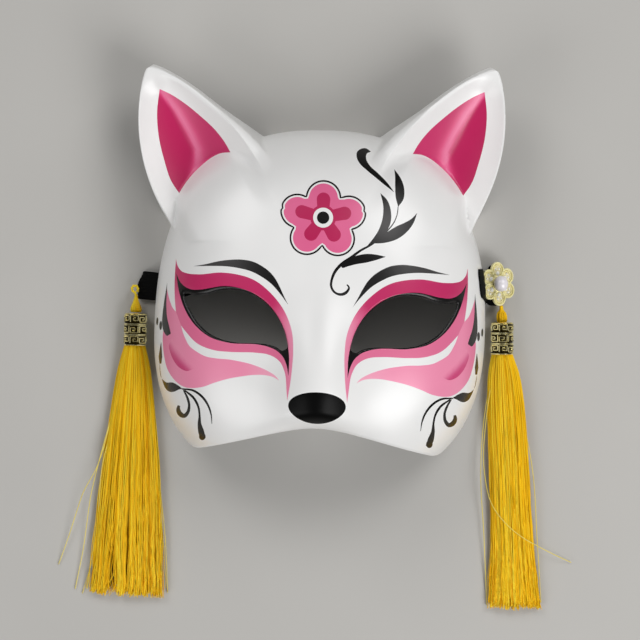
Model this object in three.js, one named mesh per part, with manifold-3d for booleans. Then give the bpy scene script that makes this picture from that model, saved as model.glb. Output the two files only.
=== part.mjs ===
// Cat half mask of moulded gloss plastic, lying face up, with its elastic strap,
// two silk tassels in brass caps and a flower brooch with a pearl.
// Millimetres. +X is the mask's right as seen from above, +Y runs to the ears, +Z is up
// and Z = 0 is the table. The mask's midline is X = 0 until the last line centres the group.

import * as THREE from 'three';
import { mergeVertices } from 'three/addons/utils/BufferGeometryUtils.js';
import Module from 'manifold-3d';

const wasm = await Module();
wasm.setup();

// Shell, from the face's width, reach and depth
const WALL = 1.9;
const HALF_WIDTH = 81.8;
const WIDEST_Y = -5;
const UPPER_REACH = 99;
const LOWER_REACH = 80;
const FACE_DEPTH = 66;
const PLAN_POWER = 2.4;
const CROWN_POWER = 3.2;
const CROWN_ROOT = 2.2;

// Muzzle, a ridge that grows from the brow to the nose and rolls down to the lip
const MUZZLE_RISE = 13;
const MUZZLE_FROM_Y = 30;
const MUZZLE_TO_Y = -36;
const MUZZLE_HALF = [12, 20];
const MUZZLE_ROLL = { run: 9.7, power: 2.5 };

// Lip arch, its rounded corners, and the cheek's rim, which climbs off the table
const LIP = { y: -49.7, slope: 0.31, soft: 14 };
const CORNER = { from: 55.5, to: 64, lift: 0.055 };
const CHEEK_RIM = { fromY: -25, slope: 0.5 };

// Ears, cupped leaves that grow out of the brow's two corners
const EAR = {
  base: [51, 59.5], turn: THREE.MathUtils.degToRad(26.7), length: 68, half: 25,
  taper: 2.2, taperRoot: 0.9, crest: [37, 35], tilt: 8, cup: 12, cupPower: 1.6,
  slant: 1.2, innerSlope: 5, outerSlope: 14, rim: 26, rimFrom: 4, rimTo: 38,
};
const EAR_SECTIONS = [-20, -8, 0, 8, 16, 24, 32, 40, 47, 53, 58, 62, 65, 67.4];
const EAR_HOLLOW_TO = 62;
const CUP_STEPS = 8;
const EAR_LEAN = 0.021;
const LEAN_FROM = [20, 60];

// The eye's cut edge, as seen from SIGHT_HEIGHT above the table, on the right half
const SIGHT_HEIGHT = 700;
const EYE_EDGE = [
  [68.3, 10.6], [67.3, 6.6], [64.6, 1.6], [60.5, -4.1], [55.2, -8.6], [49, -11.4], [42, -12.7],
  [34, -12.9], [27, -13], [21.5, -14.3], [18.2, -16], [16, -14.6], [16.6, -9.8], [18.4, -4.6],
  [20.9, 0.2], [24.4, 4.7], [29, 8.8], [34, 11.6], [40, 13.3], [46, 13.6], [51.5, 12.8],
  [57, 11.1], [63, 10.4],
];
const EYE_CUT_POINTS = 36;
const EYE_CUT_HEIGHTS = [20, 95];

// The face's facets: rings out from its middle, as shares of its girth, and spokes
const RINGS = [0.1, 0.2, 0.3, 0.38, 0.44, 0.48, 0.52, 0.56, 0.61, 0.68, 0.76, 0.83, 0.89, 0.93, 0.96, 0.985, 1];
const SPOKES = 60;
const LIP_STEPS = 16;

// How far the hollows and cuts run on below the table, and out past the face
const BELOW = 8;
const CLEAR = 120;

// Strap of woven elastic, folded out at both temples
const STRAP = {
  width: 14, thick: 1.2, y: 16, table: 0.25, layerGap: 0.35, foldX: 91.5, notchX: 81,
  bow: 16, wallX: 76.6, wallLean: 0.9, anchorZ: 16, bend: 2.2, flatBeforeFold: 5,
};
const STRAP_STEPS = { wall: 3, bend: 3, fold: 6, bow: 12 };
const NOTCH = { width: 20, height: 3.8, from: 70, to: 95 };

// Tassels
const CAP = {
  radius: 5.4, core: 5.0, length: 15.5, bands: 3, rim: 0.9, bevel: 0.3, bore: 4.2, boreDepth: 3,
  crown: 0.4, crownInset: 0.8, segments: 14,
};
const CAP_AXIS_Z = CAP.radius + 0.1;
const CORD = { radius: 0.85, gapOverCap: 0.75, longestKnot: 8.4, leastNeck: 2.4, segments: 10 };
const KNOT = [[2.1, 0.75], [2.7, 1.6], [2.85, 2.6], [2.5, 4.1], [1.7, 5.8]];
const TASSELS = [
  { side: 'left', x: -92.0, capTopY: 0, capTurn: 0.01, neckY: 14.6, neckX: -92.9,
    hemX: -91, hemY: -141, hemHalf: 19.8 },
  { side: 'right', x: 90.3, capTopY: 1.6, capTurn: 0.03, neckY: 11.2, neckX: 90.1,
    hemX: 101.2, hemY: -142.5, hemHalf: 14.5 },
];
const SKIRT = {
  inCap: 2.95, boreGap: 0.35, capGap: 0.4, shoulder: 0.9, flarePower: 0.42, swayPower: 1.1,
  top: 4.6, topZ: 5.5, hemHeight: 5.2, thinPower: 0.6, table: 0.05,
  sections: 9, points: 24, flutes: 8, flute: 0.05, twist: 0.3,
};

// Brooch
const BROOCH = {
  x: 88.3, y: 21, z: 6.2, tilt: 0.1, narrow: 0.77, petals: 6, ring: 6.8, petal: 4.1, spread: 1.95,
  petalSteps: 5, thick: 1.8, bevel: 0.4,
};
const PEARL = { radius: 3.6, sink: 0.9, gap: 0.3, steps: 9, segments: 16 };

const FACE_WHITE = { color: 0xe9e9e7, roughness: 0.22, metalness: 0 };
const ELASTIC_BLACK = { color: 0x0d0e0c, roughness: 0.95, metalness: 0 };
const SILK_YELLOW = { color: 0xf0b51c, roughness: 0.5, metalness: 0 };
const CAP_BRASS = { color: 0xcdb25a, roughness: 0.35, metalness: 1 };
const BROOCH_GOLD = { color: 0xe3dd92, roughness: 0.3, metalness: 1 };
const PEARL_WHITE = { color: 0xe6dfe8, roughness: 0.25, metalness: 0 };

const { smoothstep, lerp, clamp } = THREE.MathUtils;

function lipY(x) {
  const corner = clamp(Math.abs(x) - CORNER.from, 0, CORNER.to - CORNER.from);
  return LIP.y - LIP.slope * (Math.hypot(x, LIP.soft) - LIP.soft) + CORNER.lift * corner ** 2;
}

// The muzzle's height over the face: a rounded ridge, gone again at the lip's edge.
function muzzle(x, y) {
  const grown = 1 - smoothstep(y, MUZZLE_TO_Y, MUZZLE_FROM_Y);
  const half = lerp(MUZZLE_HALF[0], MUZZLE_HALF[1], grown);
  const rolled = clamp(1 - (y - lipY(x)) / MUZZLE_ROLL.run, 0, 1) ** MUZZLE_ROLL.power;
  return MUZZLE_RISE * grown * (1 - rolled) * Math.exp(-((x / half) ** 2));
}

// A point of the face, or of its inside where wall is more than 0. Girth runs from 0 in the
// middle to 1 at the rim, and angle runs round.
function facePoint(girth, angle, wall) {
  const power = 2 / PLAN_POWER;
  const bent = (v) => Math.sign(v) * Math.abs(v) ** power;
  const reach = (Math.sin(angle) > 0 ? UPPER_REACH : LOWER_REACH) - wall;
  const x = (HALF_WIDTH - wall) * girth * bent(Math.cos(angle));
  const y = WIDEST_Y + reach * girth * bent(Math.sin(angle));
  const crown = (FACE_DEPTH - wall) * (1 - girth ** CROWN_POWER) ** (1 / CROWN_ROOT);
  return new THREE.Vector3(x, y, crown + muzzle(x, y));
}

function meshOf(points, faces) {
  const geometry = new THREE.BufferGeometry();
  geometry.setAttribute('position', new THREE.Float32BufferAttribute(points.flatMap((p) => p.toArray()), 3));
  geometry.setIndex(faces.flat());
  return geometry;
}

function solidOf(geometry) {
  const bare = geometry.clone();
  bare.deleteAttribute('normal');
  bare.deleteAttribute('uv');
  const merged = mergeVertices(bare, 1e-4);
  return new wasm.Manifold(new wasm.Mesh({
    numProp: 3,
    vertProperties: new Float32Array(merged.getAttribute('position').array),
    triVerts: new Uint32Array(merged.getIndex().array),
  }));
}

function geometryOf(solid) {
  const mesh = solid.getMesh();
  const geometry = new THREE.BufferGeometry();
  geometry.setAttribute('position', new THREE.BufferAttribute(new Float32Array(mesh.vertProperties), 3));
  geometry.setIndex(new THREE.BufferAttribute(new Uint32Array(mesh.triVerts), 1));
  return geometry;
}

// Joins rings of equally many points into a closed body with flat ends.
function loft(rings) {
  const count = rings[0].length;
  const faces = [];
  for (let i = 0; i < rings.length - 1; i += 1) {
    for (let k = 0; k < count; k += 1) {
      const a = i * count + k;
      const b = i * count + ((k + 1) % count);
      faces.push([a, b, b + count], [a, b + count, a + count]);
    }
  }
  const last = (rings.length - 1) * count;
  for (let k = 1; k < count - 1; k += 1) {
    faces.push([0, k + 1, k], [last, last + k, last + k + 1]);
  }
  return meshOf(rings.flat(), faces);
}

// The face as a full body, or the hollow inside it, which runs on below the table.
function faceBody(wall) {
  const points = [facePoint(0, 0, wall)];
  for (const girth of RINGS) {
    for (let k = 0; k < SPOKES; k += 1) points.push(facePoint(girth, (2 * Math.PI * k) / SPOKES, wall));
  }
  const rim = points.slice(-SPOKES);
  const depth = wall > 0 ? BELOW : 0;
  if (depth > 0) points.push(...rim.map((p) => new THREE.Vector3(p.x, p.y, -depth)));
  const rings = RINGS.length + (depth > 0 ? 1 : 0);
  points.push(new THREE.Vector3(0, WIDEST_Y, -depth));
  const at = (ring, k) => 1 + ring * SPOKES + (k % SPOKES);
  const faces = [];
  for (let k = 0; k < SPOKES; k += 1) {
    faces.push([0, at(0, k), at(0, k + 1)]);
    for (let ring = 1; ring < rings; ring += 1) {
      faces.push([at(ring - 1, k), at(ring, k), at(ring, k + 1)]);
      faces.push([at(ring - 1, k), at(ring, k + 1), at(ring - 1, k + 1)]);
    }
    faces.push([points.length - 1, at(rings - 1, k + 1), at(rings - 1, k)]);
  }
  return meshOf(points, faces);
}

// One section across an ear: up its inner wall, through the cup and down its outer wall.
function earSection(along, wall, side) {
  const share = clamp(along / EAR.length, 0, 1);
  const half = EAR.half * (1 - share ** EAR.taper) ** EAR.taperRoot;
  const rim = EAR.rim * smoothstep(along, EAR.rimFrom, EAR.rimTo);
  const crest = (s) => lerp(EAR.crest[0], EAR.crest[1], share) - EAR.tilt * (1 - share) * s;
  const place = (u, across, z) => new THREE.Vector3(
    side * (EAR.base[0] + u * Math.sin(EAR.turn) + across * Math.cos(EAR.turn)),
    EAR.base[1] + u * Math.cos(EAR.turn) - across * Math.sin(EAR.turn), z);
  const bottom = wall > 0 ? -BELOW : rim;
  const foot = (s) => {
    const flare = (crest(s) - bottom) / (s < 0 ? EAR.innerSlope : EAR.outerSlope);
    return place(along + flare * share ** 6, s * (half + flare - wall), bottom);
  };
  const section = [foot(-1)];
  for (let i = 0; i <= CUP_STEPS; i += 1) {
    const s = (1 - wall / half) * (-1 + (2 * i) / CUP_STEPS);
    const cup = EAR.cup * (half / EAR.half) * (1 - Math.abs(s) ** EAR.cupPower);
    section.push(place(along, s * half, crest(s) - cup - wall * EAR.slant));
  }
  section.push(foot(1));
  return side > 0 ? section : section.reverse();
}

function earBody(wall, side) {
  const last = wall > 0 ? EAR_HOLLOW_TO : EAR.length;
  return loft(EAR_SECTIONS.filter((along) => along <= last).map((along) => earSection(along, wall, side)));
}

// Everything in front of the lip's arch, from the table up.
function lipCut() {
  const edge = [new THREE.Vector2(-CORNER.to, -CLEAR)];
  for (let i = -LIP_STEPS; i <= LIP_STEPS; i += 1) {
    const x = (CORNER.to * i) / LIP_STEPS;
    edge.push(new THREE.Vector2(x, lipY(x)));
  }
  edge.push(new THREE.Vector2(CORNER.to, -CLEAR));
  const block = new THREE.ExtrudeGeometry(new THREE.Shape(edge), { depth: CLEAR, bevelEnabled: false });
  return block.translate(0, 0, -BELOW);
}

// The wedge of air under the cheeks.
function cheekCut() {
  const { fromY, slope } = CHEEK_RIM;
  const wedge = new THREE.Shape([
    new THREE.Vector2(fromY, 0),
    new THREE.Vector2(-CLEAR, slope * (fromY + CLEAR)),
    new THREE.Vector2(-CLEAR, -BELOW),
    new THREE.Vector2(fromY, -BELOW),
  ]);
  const block = new THREE.ExtrudeGeometry(wedge, { depth: 2 * CLEAR, bevelEnabled: false });
  return block.rotateX(Math.PI / 2).rotateZ(Math.PI / 2).translate(-CLEAR, 0, 0);
}

// The eye's cut, whose walls run along the lines of sight.
function eyeCut(side) {
  const curve = new THREE.CatmullRomCurve3(
    EYE_EDGE.map(([x, y]) => new THREE.Vector3(x * side, y, 0)), true, 'centripetal');
  const edge = curve.getSpacedPoints(EYE_CUT_POINTS).slice(0, EYE_CUT_POINTS);
  if (side > 0) edge.reverse();
  const level = (z) => edge.map((p) => {
    const k = 1 - z / SIGHT_HEIGHT;
    return new THREE.Vector3(p.x * k, p.y * k, z);
  });
  return loft(EYE_CUT_HEIGHTS.map(level));
}

function notchCut(side) {
  const slot = new THREE.BoxGeometry(NOTCH.to - NOTCH.from, NOTCH.width, NOTCH.height + BELOW);
  return slot.translate((side * (NOTCH.from + NOTCH.to)) / 2, STRAP.y, (NOTCH.height - BELOW) / 2);
}

// The ears lean a little to the mask's left, as the moulding has set.
function lean(geometry) {
  const at = geometry.getAttribute('position');
  for (let i = 0; i < at.count; i += 1) {
    const x = at.getX(i);
    const y = at.getY(i);
    const turn = EAR_LEAN * smoothstep(y, LEAN_FROM[0], LEAN_FROM[1]);
    at.setXY(i, x - turn * y, y + turn * x);
  }
  return geometry;
}

function maskShell() {
  let full = solidOf(faceBody(0));
  let hollow = solidOf(faceBody(WALL));
  for (const side of [-1, 1]) {
    full = full.add(solidOf(earBody(0, side)));
    hollow = hollow.add(solidOf(earBody(WALL, side)));
  }
  let shell = full.subtract(hollow).subtract(solidOf(lipCut())).subtract(solidOf(cheekCut()));
  for (const side of [-1, 1]) {
    shell = shell.subtract(solidOf(eyeCut(side))).subtract(solidOf(notchCut(side)));
  }
  return lean(geometryOf(shell));
}

// Half of the strap's course in the XZ plane: down the temple's inside, out under the rim,
// round the fold and back in to the middle.
function strapHalf() {
  const low = STRAP.table + STRAP.thick / 2;
  const high = low + STRAP.thick + STRAP.layerGap;
  const turn = (high - low) / 2;
  const turnX = STRAP.foldX - STRAP.thick / 2 - turn;
  const course = [];
  for (let i = 0; i <= STRAP_STEPS.wall; i += 1) {
    const t = i / STRAP_STEPS.wall;
    course.push([STRAP.wallX - STRAP.wallLean * (1 - t), lerp(STRAP.anchorZ, high + STRAP.bend, t)]);
  }
  for (let i = 1; i <= STRAP_STEPS.bend; i += 1) {
    const a = (Math.PI / 2) * (i / STRAP_STEPS.bend);
    course.push([STRAP.wallX + STRAP.bend * (1 - Math.cos(a)), high + STRAP.bend * (1 - Math.sin(a))]);
  }
  course.push([STRAP.foldX - STRAP.flatBeforeFold, high]);
  for (let i = 0; i <= STRAP_STEPS.fold; i += 1) {
    const a = Math.PI * (0.5 - i / STRAP_STEPS.fold);
    course.push([turnX + turn * Math.cos(a), low + turn + turn * Math.sin(a)]);
  }
  for (let i = 0; i <= STRAP_STEPS.bow; i += 1) course.push([STRAP.notchX * (1 - i / STRAP_STEPS.bow), low]);
  return course;
}

// The strap's sideways bow on the table under the mask.
function strapBow(x) {
  return STRAP.y + STRAP.bow * Math.max(0, 1 - (x / STRAP.notchX) ** 2) ** 1.5;
}

function elasticStrap() {
  const half = strapHalf();
  const line = [...half, ...half.slice(0, -1).reverse().map(([x, z]) => [-x, z])];
  const inner = half.length - STRAP_STEPS.bow - 1;
  const course = line.map(([x, z], i) => {
    const onTable = i >= inner && i < line.length - inner;
    return new THREE.Vector3(x, onTable ? strapBow(x) : STRAP.y, z);
  });
  const rings = course.map((p, i) => {
    const run = new THREE.Vector3().subVectors(
      course[Math.min(i + 1, course.length - 1)], course[Math.max(i - 1, 0)]).normalize();
    const across = new THREE.Vector3(-run.y * Math.sign(run.x || 1), Math.abs(run.x) + Math.abs(run.z), 0)
      .normalize();
    const up = new THREE.Vector3().crossVectors(run, across).normalize();
    const corner = (a, b) => p.clone().addScaledVector(across, (a * STRAP.width) / 2)
      .addScaledVector(up, (b * STRAP.thick) / 2);
    return [corner(-1, -1), corner(1, -1), corner(1, 1), corner(-1, 1)];
  });
  return loft(rings);
}

// A turned piece whose axis lies along Y, from [radius, y] pairs.
function turned(profile, segments) {
  return new THREE.LatheGeometry(profile.map(([r, y]) => new THREE.Vector2(r, y)), segments);
}

function capGeometry() {
  const { radius, core, length, bands, rim, bevel, bore, boreDepth, crown, crownInset } = CAP;
  const profile = [[0, boreDepth - length], [bore, boreDepth - length], [bore, -length], [radius, -length]];
  const band = length / bands;
  for (let i = 0; i < bands; i += 1) {
    const y = -length + i * band;
    profile.push([radius, y + rim], [core, y + rim + bevel]);
    profile.push([core, y + band - 2 * bevel], [radius, y + band - bevel]);
  }
  profile.push([radius, 0], [radius - crownInset, crown], [0, crown]);
  return turned(profile, CAP.segments);
}

function placedAlongY(geometry, x, y, z, turn) {
  geometry.rotateZ(turn);
  geometry.translate(x, y, z);
  return geometry;
}

// The wrapped knot and the neck of cord above it, up to the strap.
function tasselCord(tassel) {
  const length = tassel.neckY - tassel.capTopY;
  const knot = Math.min(CORD.longestKnot, length - CORD.leastNeck);
  const neck = [[CORD.radius + 0.2, knot], [CORD.radius, knot + 1], [CORD.radius, length - 0.5], [0, length]];
  const profile = [[0, CORD.gapOverCap], ...KNOT, ...neck];
  const turn = Math.atan2(tassel.x - tassel.neckX, length);
  return placedAlongY(turned(profile, CORD.segments), tassel.x, tassel.capTopY, CAP_AXIS_Z, turn);
}

function tasselCap(tassel) {
  return placedAlongY(capGeometry(), tassel.x, tassel.capTopY, CAP_AXIS_Z, tassel.capTurn);
}

// A ring of the skirt, as wide and as high as asked, with soft flutes.
function skirtRing(x, y, z, half, high, flute, twist) {
  const ring = [];
  for (let k = 0; k < SKIRT.points; k += 1) {
    const a = (2 * Math.PI * k) / SKIRT.points;
    const fluted = 1 + flute * Math.cos(SKIRT.flutes * a + twist);
    ring.push(new THREE.Vector3(x + half * fluted * Math.cos(a), y, z + high * fluted * Math.sin(a)));
  }
  return ring;
}

// The skirt of threads: round in the cap, flat on the table at its hem.
function tasselSkirt(tassel) {
  const startY = tassel.capTopY - CAP.length + CAP.boreDepth - SKIRT.capGap;
  const mouthY = startY - SKIRT.inCap;
  const startX = tassel.x + tassel.capTurn * CAP.length;
  const bore = CAP.bore - SKIRT.boreGap;
  const rings = [];
  for (const y of [startY, mouthY]) rings.push(skirtRing(startX, y, CAP_AXIS_Z, bore, bore, 0, 0));
  for (let i = 1; i < SKIRT.sections; i += 1) {
    const t = i / (SKIRT.sections - 1);
    const half = lerp(bore + SKIRT.shoulder, tassel.hemHalf, t ** SKIRT.flarePower);
    const high = lerp(SKIRT.top, SKIRT.hemHeight / 2, t ** SKIRT.thinPower);
    const lying = high * (1 + SKIRT.flute) + SKIRT.table;
    const z = Math.max(lying, lerp(SKIRT.topZ, 0, t * 2));
    const x = lerp(startX, tassel.hemX, t ** SKIRT.swayPower);
    rings.push(skirtRing(x, lerp(mouthY, tassel.hemY, t), z, half, high, SKIRT.flute, i * SKIRT.twist));
  }
  return loft(rings);
}

function broochShape() {
  const outline = [];
  for (let i = 0; i < BROOCH.petals; i += 1) {
    const middle = Math.PI / 2 + (2 * Math.PI * i) / BROOCH.petals;
    for (let k = 0; k <= BROOCH.petalSteps; k += 1) {
      const a = middle + BROOCH.spread * ((2 * k) / BROOCH.petalSteps - 1);
      const x = BROOCH.ring * Math.cos(middle) + BROOCH.petal * Math.cos(a);
      const y = BROOCH.ring * Math.sin(middle) + BROOCH.petal * Math.sin(a);
      outline.push(new THREE.Vector2(x * BROOCH.narrow, y));
    }
  }
  return new THREE.Shape(outline);
}

function onBrooch(geometry) {
  geometry.rotateY(BROOCH.tilt);
  geometry.translate(BROOCH.x, BROOCH.y, BROOCH.z);
  return geometry;
}

function broochFlower() {
  const { thick, bevel } = BROOCH;
  const options = {
    depth: thick - 2 * bevel, bevelEnabled: true, bevelThickness: bevel, bevelSize: bevel,
    bevelOffset: -bevel, bevelSegments: 1,
  };
  return onBrooch(new THREE.ExtrudeGeometry(broochShape(), options).translate(0, 0, bevel));
}

// A pearl with a flat ground on its underside, which faces the flower across a thin gap.
function broochPearl() {
  const { radius, sink, gap, steps, segments } = PEARL;
  const groundEdge = Math.acos(1 - sink / radius) - Math.PI / 2;
  const profile = [[0, sink - radius]];
  for (let i = 0; i < steps; i += 1) {
    const a = lerp(groundEdge, Math.PI / 2, i / steps);
    profile.push([radius * Math.cos(a), radius * Math.sin(a)]);
  }
  profile.push([0, radius]);
  const pearl = turned(profile, segments).rotateX(Math.PI / 2);
  return onBrooch(pearl.translate(0, 0, BROOCH.thick + gap + radius - sink));
}

function named(name, geometry, finish) {
  const mesh = new THREE.Mesh(geometry, new THREE.MeshStandardMaterial(finish));
  mesh.name = name;
  return mesh;
}

const mask = new THREE.Group();
mask.add(named('mask_shell', maskShell(), FACE_WHITE));
mask.add(named('elastic_strap', elasticStrap(), ELASTIC_BLACK));
for (const tassel of TASSELS) {
  mask.add(named(`${tassel.side}_tassel_cord`, tasselCord(tassel), SILK_YELLOW));
  mask.add(named(`${tassel.side}_tassel_cap`, tasselCap(tassel), CAP_BRASS));
  mask.add(named(`${tassel.side}_tassel_skirt`, tasselSkirt(tassel), SILK_YELLOW));
}
mask.add(named('brooch_flower', broochFlower(), BROOCH_GOLD));
mask.add(named('brooch_pearl', broochPearl(), PEARL_WHITE));

// The origin is the middle of the whole part's underside.
const box = new THREE.Box3().setFromObject(mask);
const middle = box.getCenter(new THREE.Vector3());
mask.position.set(-middle.x, -middle.y, -box.min.z);
mask.updateMatrixWorld(true);

export default mask;
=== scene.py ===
"""Cat half mask with an elastic strap, silk tassels and a flower brooch.

Lengths inside the functions are millimetres in the mask's own frame: X = 0 is its midline, +Y runs
to the ears and Z = 0 is the table. placed() turns them into metres in the frame of the CAD model.
Paint outlines are millimetres on the sheet: where the line of sight from the camera to a painted
point meets the table.
"""

import math
from functools import partial
from types import SimpleNamespace as Sizes

import bmesh
import bpy
import numpy as np
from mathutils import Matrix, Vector, geometry, kdtree


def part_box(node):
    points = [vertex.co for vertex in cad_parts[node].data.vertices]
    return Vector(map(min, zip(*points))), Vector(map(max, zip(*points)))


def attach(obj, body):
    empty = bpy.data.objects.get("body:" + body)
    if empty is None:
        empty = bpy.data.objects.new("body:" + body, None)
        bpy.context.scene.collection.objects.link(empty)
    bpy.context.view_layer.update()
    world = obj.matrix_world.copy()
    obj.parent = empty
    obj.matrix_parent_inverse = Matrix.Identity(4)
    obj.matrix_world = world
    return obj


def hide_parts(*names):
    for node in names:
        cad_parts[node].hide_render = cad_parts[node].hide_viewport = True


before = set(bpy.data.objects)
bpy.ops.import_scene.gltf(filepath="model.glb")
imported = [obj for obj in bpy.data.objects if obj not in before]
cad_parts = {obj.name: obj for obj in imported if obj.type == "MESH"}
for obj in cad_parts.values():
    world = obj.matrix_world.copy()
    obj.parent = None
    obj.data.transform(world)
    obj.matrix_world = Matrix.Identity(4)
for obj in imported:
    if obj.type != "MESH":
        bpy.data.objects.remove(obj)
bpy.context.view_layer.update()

bl_info = {
    "name": "Cat half mask",
    "version": (1, 0, 0),
    "blender": (4, 5, 0),
    "location": "View3D > Sidebar > Cat Mask",
    "description": "Builds a moulded cat half mask with its strap, tassels, brooch and studio",
    "category": "Object",
}

MM = 0.001
TINY = 1e-9
BODY = "root"

# The face, from its width, reach and depth
WALL = 1.9
HALF_WIDTH = 81.8
WIDEST_Y = -5.0
UPPER_REACH = 99.0
LOWER_REACH = 80.0
FACE_DEPTH = 66.0
PLAN_POWER = 2.4
CROWN_POWER = 3.2
CROWN_ROOT = 2.2
MUZZLE = Sizes(rise=13.0, from_y=30.0, to_y=-36.0, half=(12.0, 20.0), run=9.7, power=2.5)
LIP = Sizes(y=-49.7, slope=0.31, soft=14.0, start=55.5, to=64.0, lift=0.055)
SWELL = Sizes(share=0.048, half=(15.0, 24.0), start=(0.5, 0.9))
CHEEK_RIM = Sizes(from_y=-25.0, slope=0.5)
NOTCH = Sizes(height=3.8, from_y=6.0, to_y=26.0, soft=2.0)

# The rolled edges: how deep they sink, how far the eye's reaches, and where the roll is cut off
LIP_ROLL = 1.3
LIP_LEAN = 0.955
EYE_DROP = 1.5
EYE_REACH = 3.0
LEAST_SHARE = 0.02

# The ears, cupped leaves that lean a little to the mask's left. Pairs run from foot to tip, from
# the inner side to the outer one, or over the stretch where one form passes into the next.
EAR = Sizes(
    base=(51.0, 59.5), turn=math.radians(26.7), length=68.0, half=25.8, least_half=0.4,
    taper=2.2, root=0.87, bow=1.1, shift=1.4, tip=1.4, tip_round=0.8, tip_power=6,
    foot_high=0.8, foot_wide=5.0, foot_run=(0.0, 0.65), foot_inside=(0.0, 20.0),
    crest=(37.0, 35.0), tilt=8.0, cup=12.0, cup_power=1.6, cup_end=(0.8, 1.0),
    slant=1.2, slope=(5.0, 14.0), ridge=(-2.5, 2.5), inner_round=(6.5, 1.5),
    round_power=0.7, outer_round=1.1, rim=26.0, rim_run=(4.0, 38.0),
    starts=-20.0, sought_from=-25.0, fillet=(3.5, 6.0), brow=(12.0, 24.0),
)
EAR_LEAN = 0.0255
LEAN_FROM = (20.0, 60.0)

# Where an ear may be, the heights that stand for none and for the ground past the face, and how
# steeply that ground falls away
EAR_ZONE = Sizes(above=35.0, beside=15.0, past_tip=12.0, past_side=20.0)
NO_EAR = -1000.0
OFF_FACE = -200.0
RIM_FALL = 2000.0

# How the moulding is measured: rays from outside find its rim, and each find is halved down. Lines
# of sight are followed to it in rounds, from a share of their points on the sheet, and each round
# keeps a share of the one before.
RAYS = Sizes(middle=(0.0, 5.0), count=1440, start=165.0, length=130.0, step=0.5)
RIM_POINTS = 0.7
RIM_SEARCH = Sizes(out=3.0, length=9.0)
WALL_SEARCH = Sizes(out=1.0, length=14.0)
SEARCH_STEP = 0.1
HALVINGS = 20
EAR_HALVINGS = 18
SIGHT_ROUNDS = 14
SIGHT_START = 0.93
SIGHT_KEPT = 0.4
LEAN_ROUNDS = 6
BATCH = 20000

# How the skin's points are spread: a triangle grid, rings where the face steepens, rows along the
# ears' crests and the rolled edges, and rows down the outer and the inner wall. The rim's points are
# closer than the grid's, and points that nearly meet are merged.
GRID = Sizes(x=(-95.0, 95.0), y=(-66.0, 132.0), row=0.866, rim=0.86, ear_sink=2.0)
RINGS = Sizes(low=20.5, high=47.0, apart=1.1, along=1.15, radius=85.0)
EAR_ROWS = {
    1.0: (-2.2, -1.5, -1.0, -0.7, -0.45, -0.25, -0.1, 0.0, 0.12, 0.3, 0.5, 0.8),
    -1.0: (-6.5, -5.5, -4.6, -3.8, -3.0, -2.3, -1.6, -1.0, -0.5, 0.0, 0.6, 1.3, 2.0, 2.8, 3.6, 4.5,
           5.4, 6.2, 7.0, 7.8, 8.6),
}
EAR_ROW = Sizes(start=-16.0, share=0.6, tip=6.0, tip_step=0.35, tip_gap=0.12, least=0.25)
EYE_ROWS = (0.12, 0.3, 0.55, 0.8, 1.0, 1.35)
LIP_ROWS = (0.12, 0.35, 0.7, 1.1, 1.5)
ROW_GAP = Sizes(ear=0.16, edge=0.1, grid=0.5, cell=0.75)
RIM_SHARE = 0.6
LIP_NEAR = 0.05
MERGED = 1e-4
TOP_EDGE = Sizes(least=19.5, rise=4.5)
OUTER_ROWS = 13
INNER_ROWS = 7
INNER_COARSER = 1.9
NORMAL_INSIDE = 0.05
NORMAL_STEP = 0.02

# The camera stands this high over the table, turned by this much. Its lens, its sensor and its
# nearest sight follow.
SIGHT_HEIGHT = 700.0
CAMERA_TURN = math.radians(2.0)
CAMERA_LENS = 78.75
SENSOR_WIDTH = 36.0
CLIP_START = 0.05

# Softboxes: degrees round from +X, degrees up, share of the key's power and width in metres
LIGHT_REACH = 1.25
LIGHTS = [
    ("upper_right_box", 50.0, 46.0, 0.84, 0.55),
    ("lower_right_box", -42.0, 44.0, 1.5, 0.65),
    ("upper_left_box", 130.0, 40.0, 0.68, 0.55),
    ("lower_left_box", -138.0, 34.0, 0.7, 0.65),
]
AIR = "#4e4e4e"

# The eye's open edge on the sheet, with the width of its rolled lip
EYE_EDGE = [
    (68.3, 10.6, 2.2), (67.3, 6.6, 2.2), (64.6, 1.6, 2.2), (60.5, -4.1, 1.6), (55.2, -8.6, 0.9),
    (49, -11.4, 0.6), (42, -12.7, 0.5), (34, -12.9, 0.5), (27, -13, 0.5), (21.5, -14.3, 0.5),
    (18.2, -16, 0.5), (16, -14.6, 0.6), (16.6, -9.8, 0.8), (18.4, -4.6, 0.8), (20.9, 0.2, 0.8),
    (24.4, 4.7, 0.9), (29, 8.8, 1.0), (34, 11.6, 1.0), (40, 13.3, 1.2), (46, 13.6, 1.5),
    (51.5, 12.8, 2.0), (57, 11.1, 2.4), (63, 10.4, 2.4),
]

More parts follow.
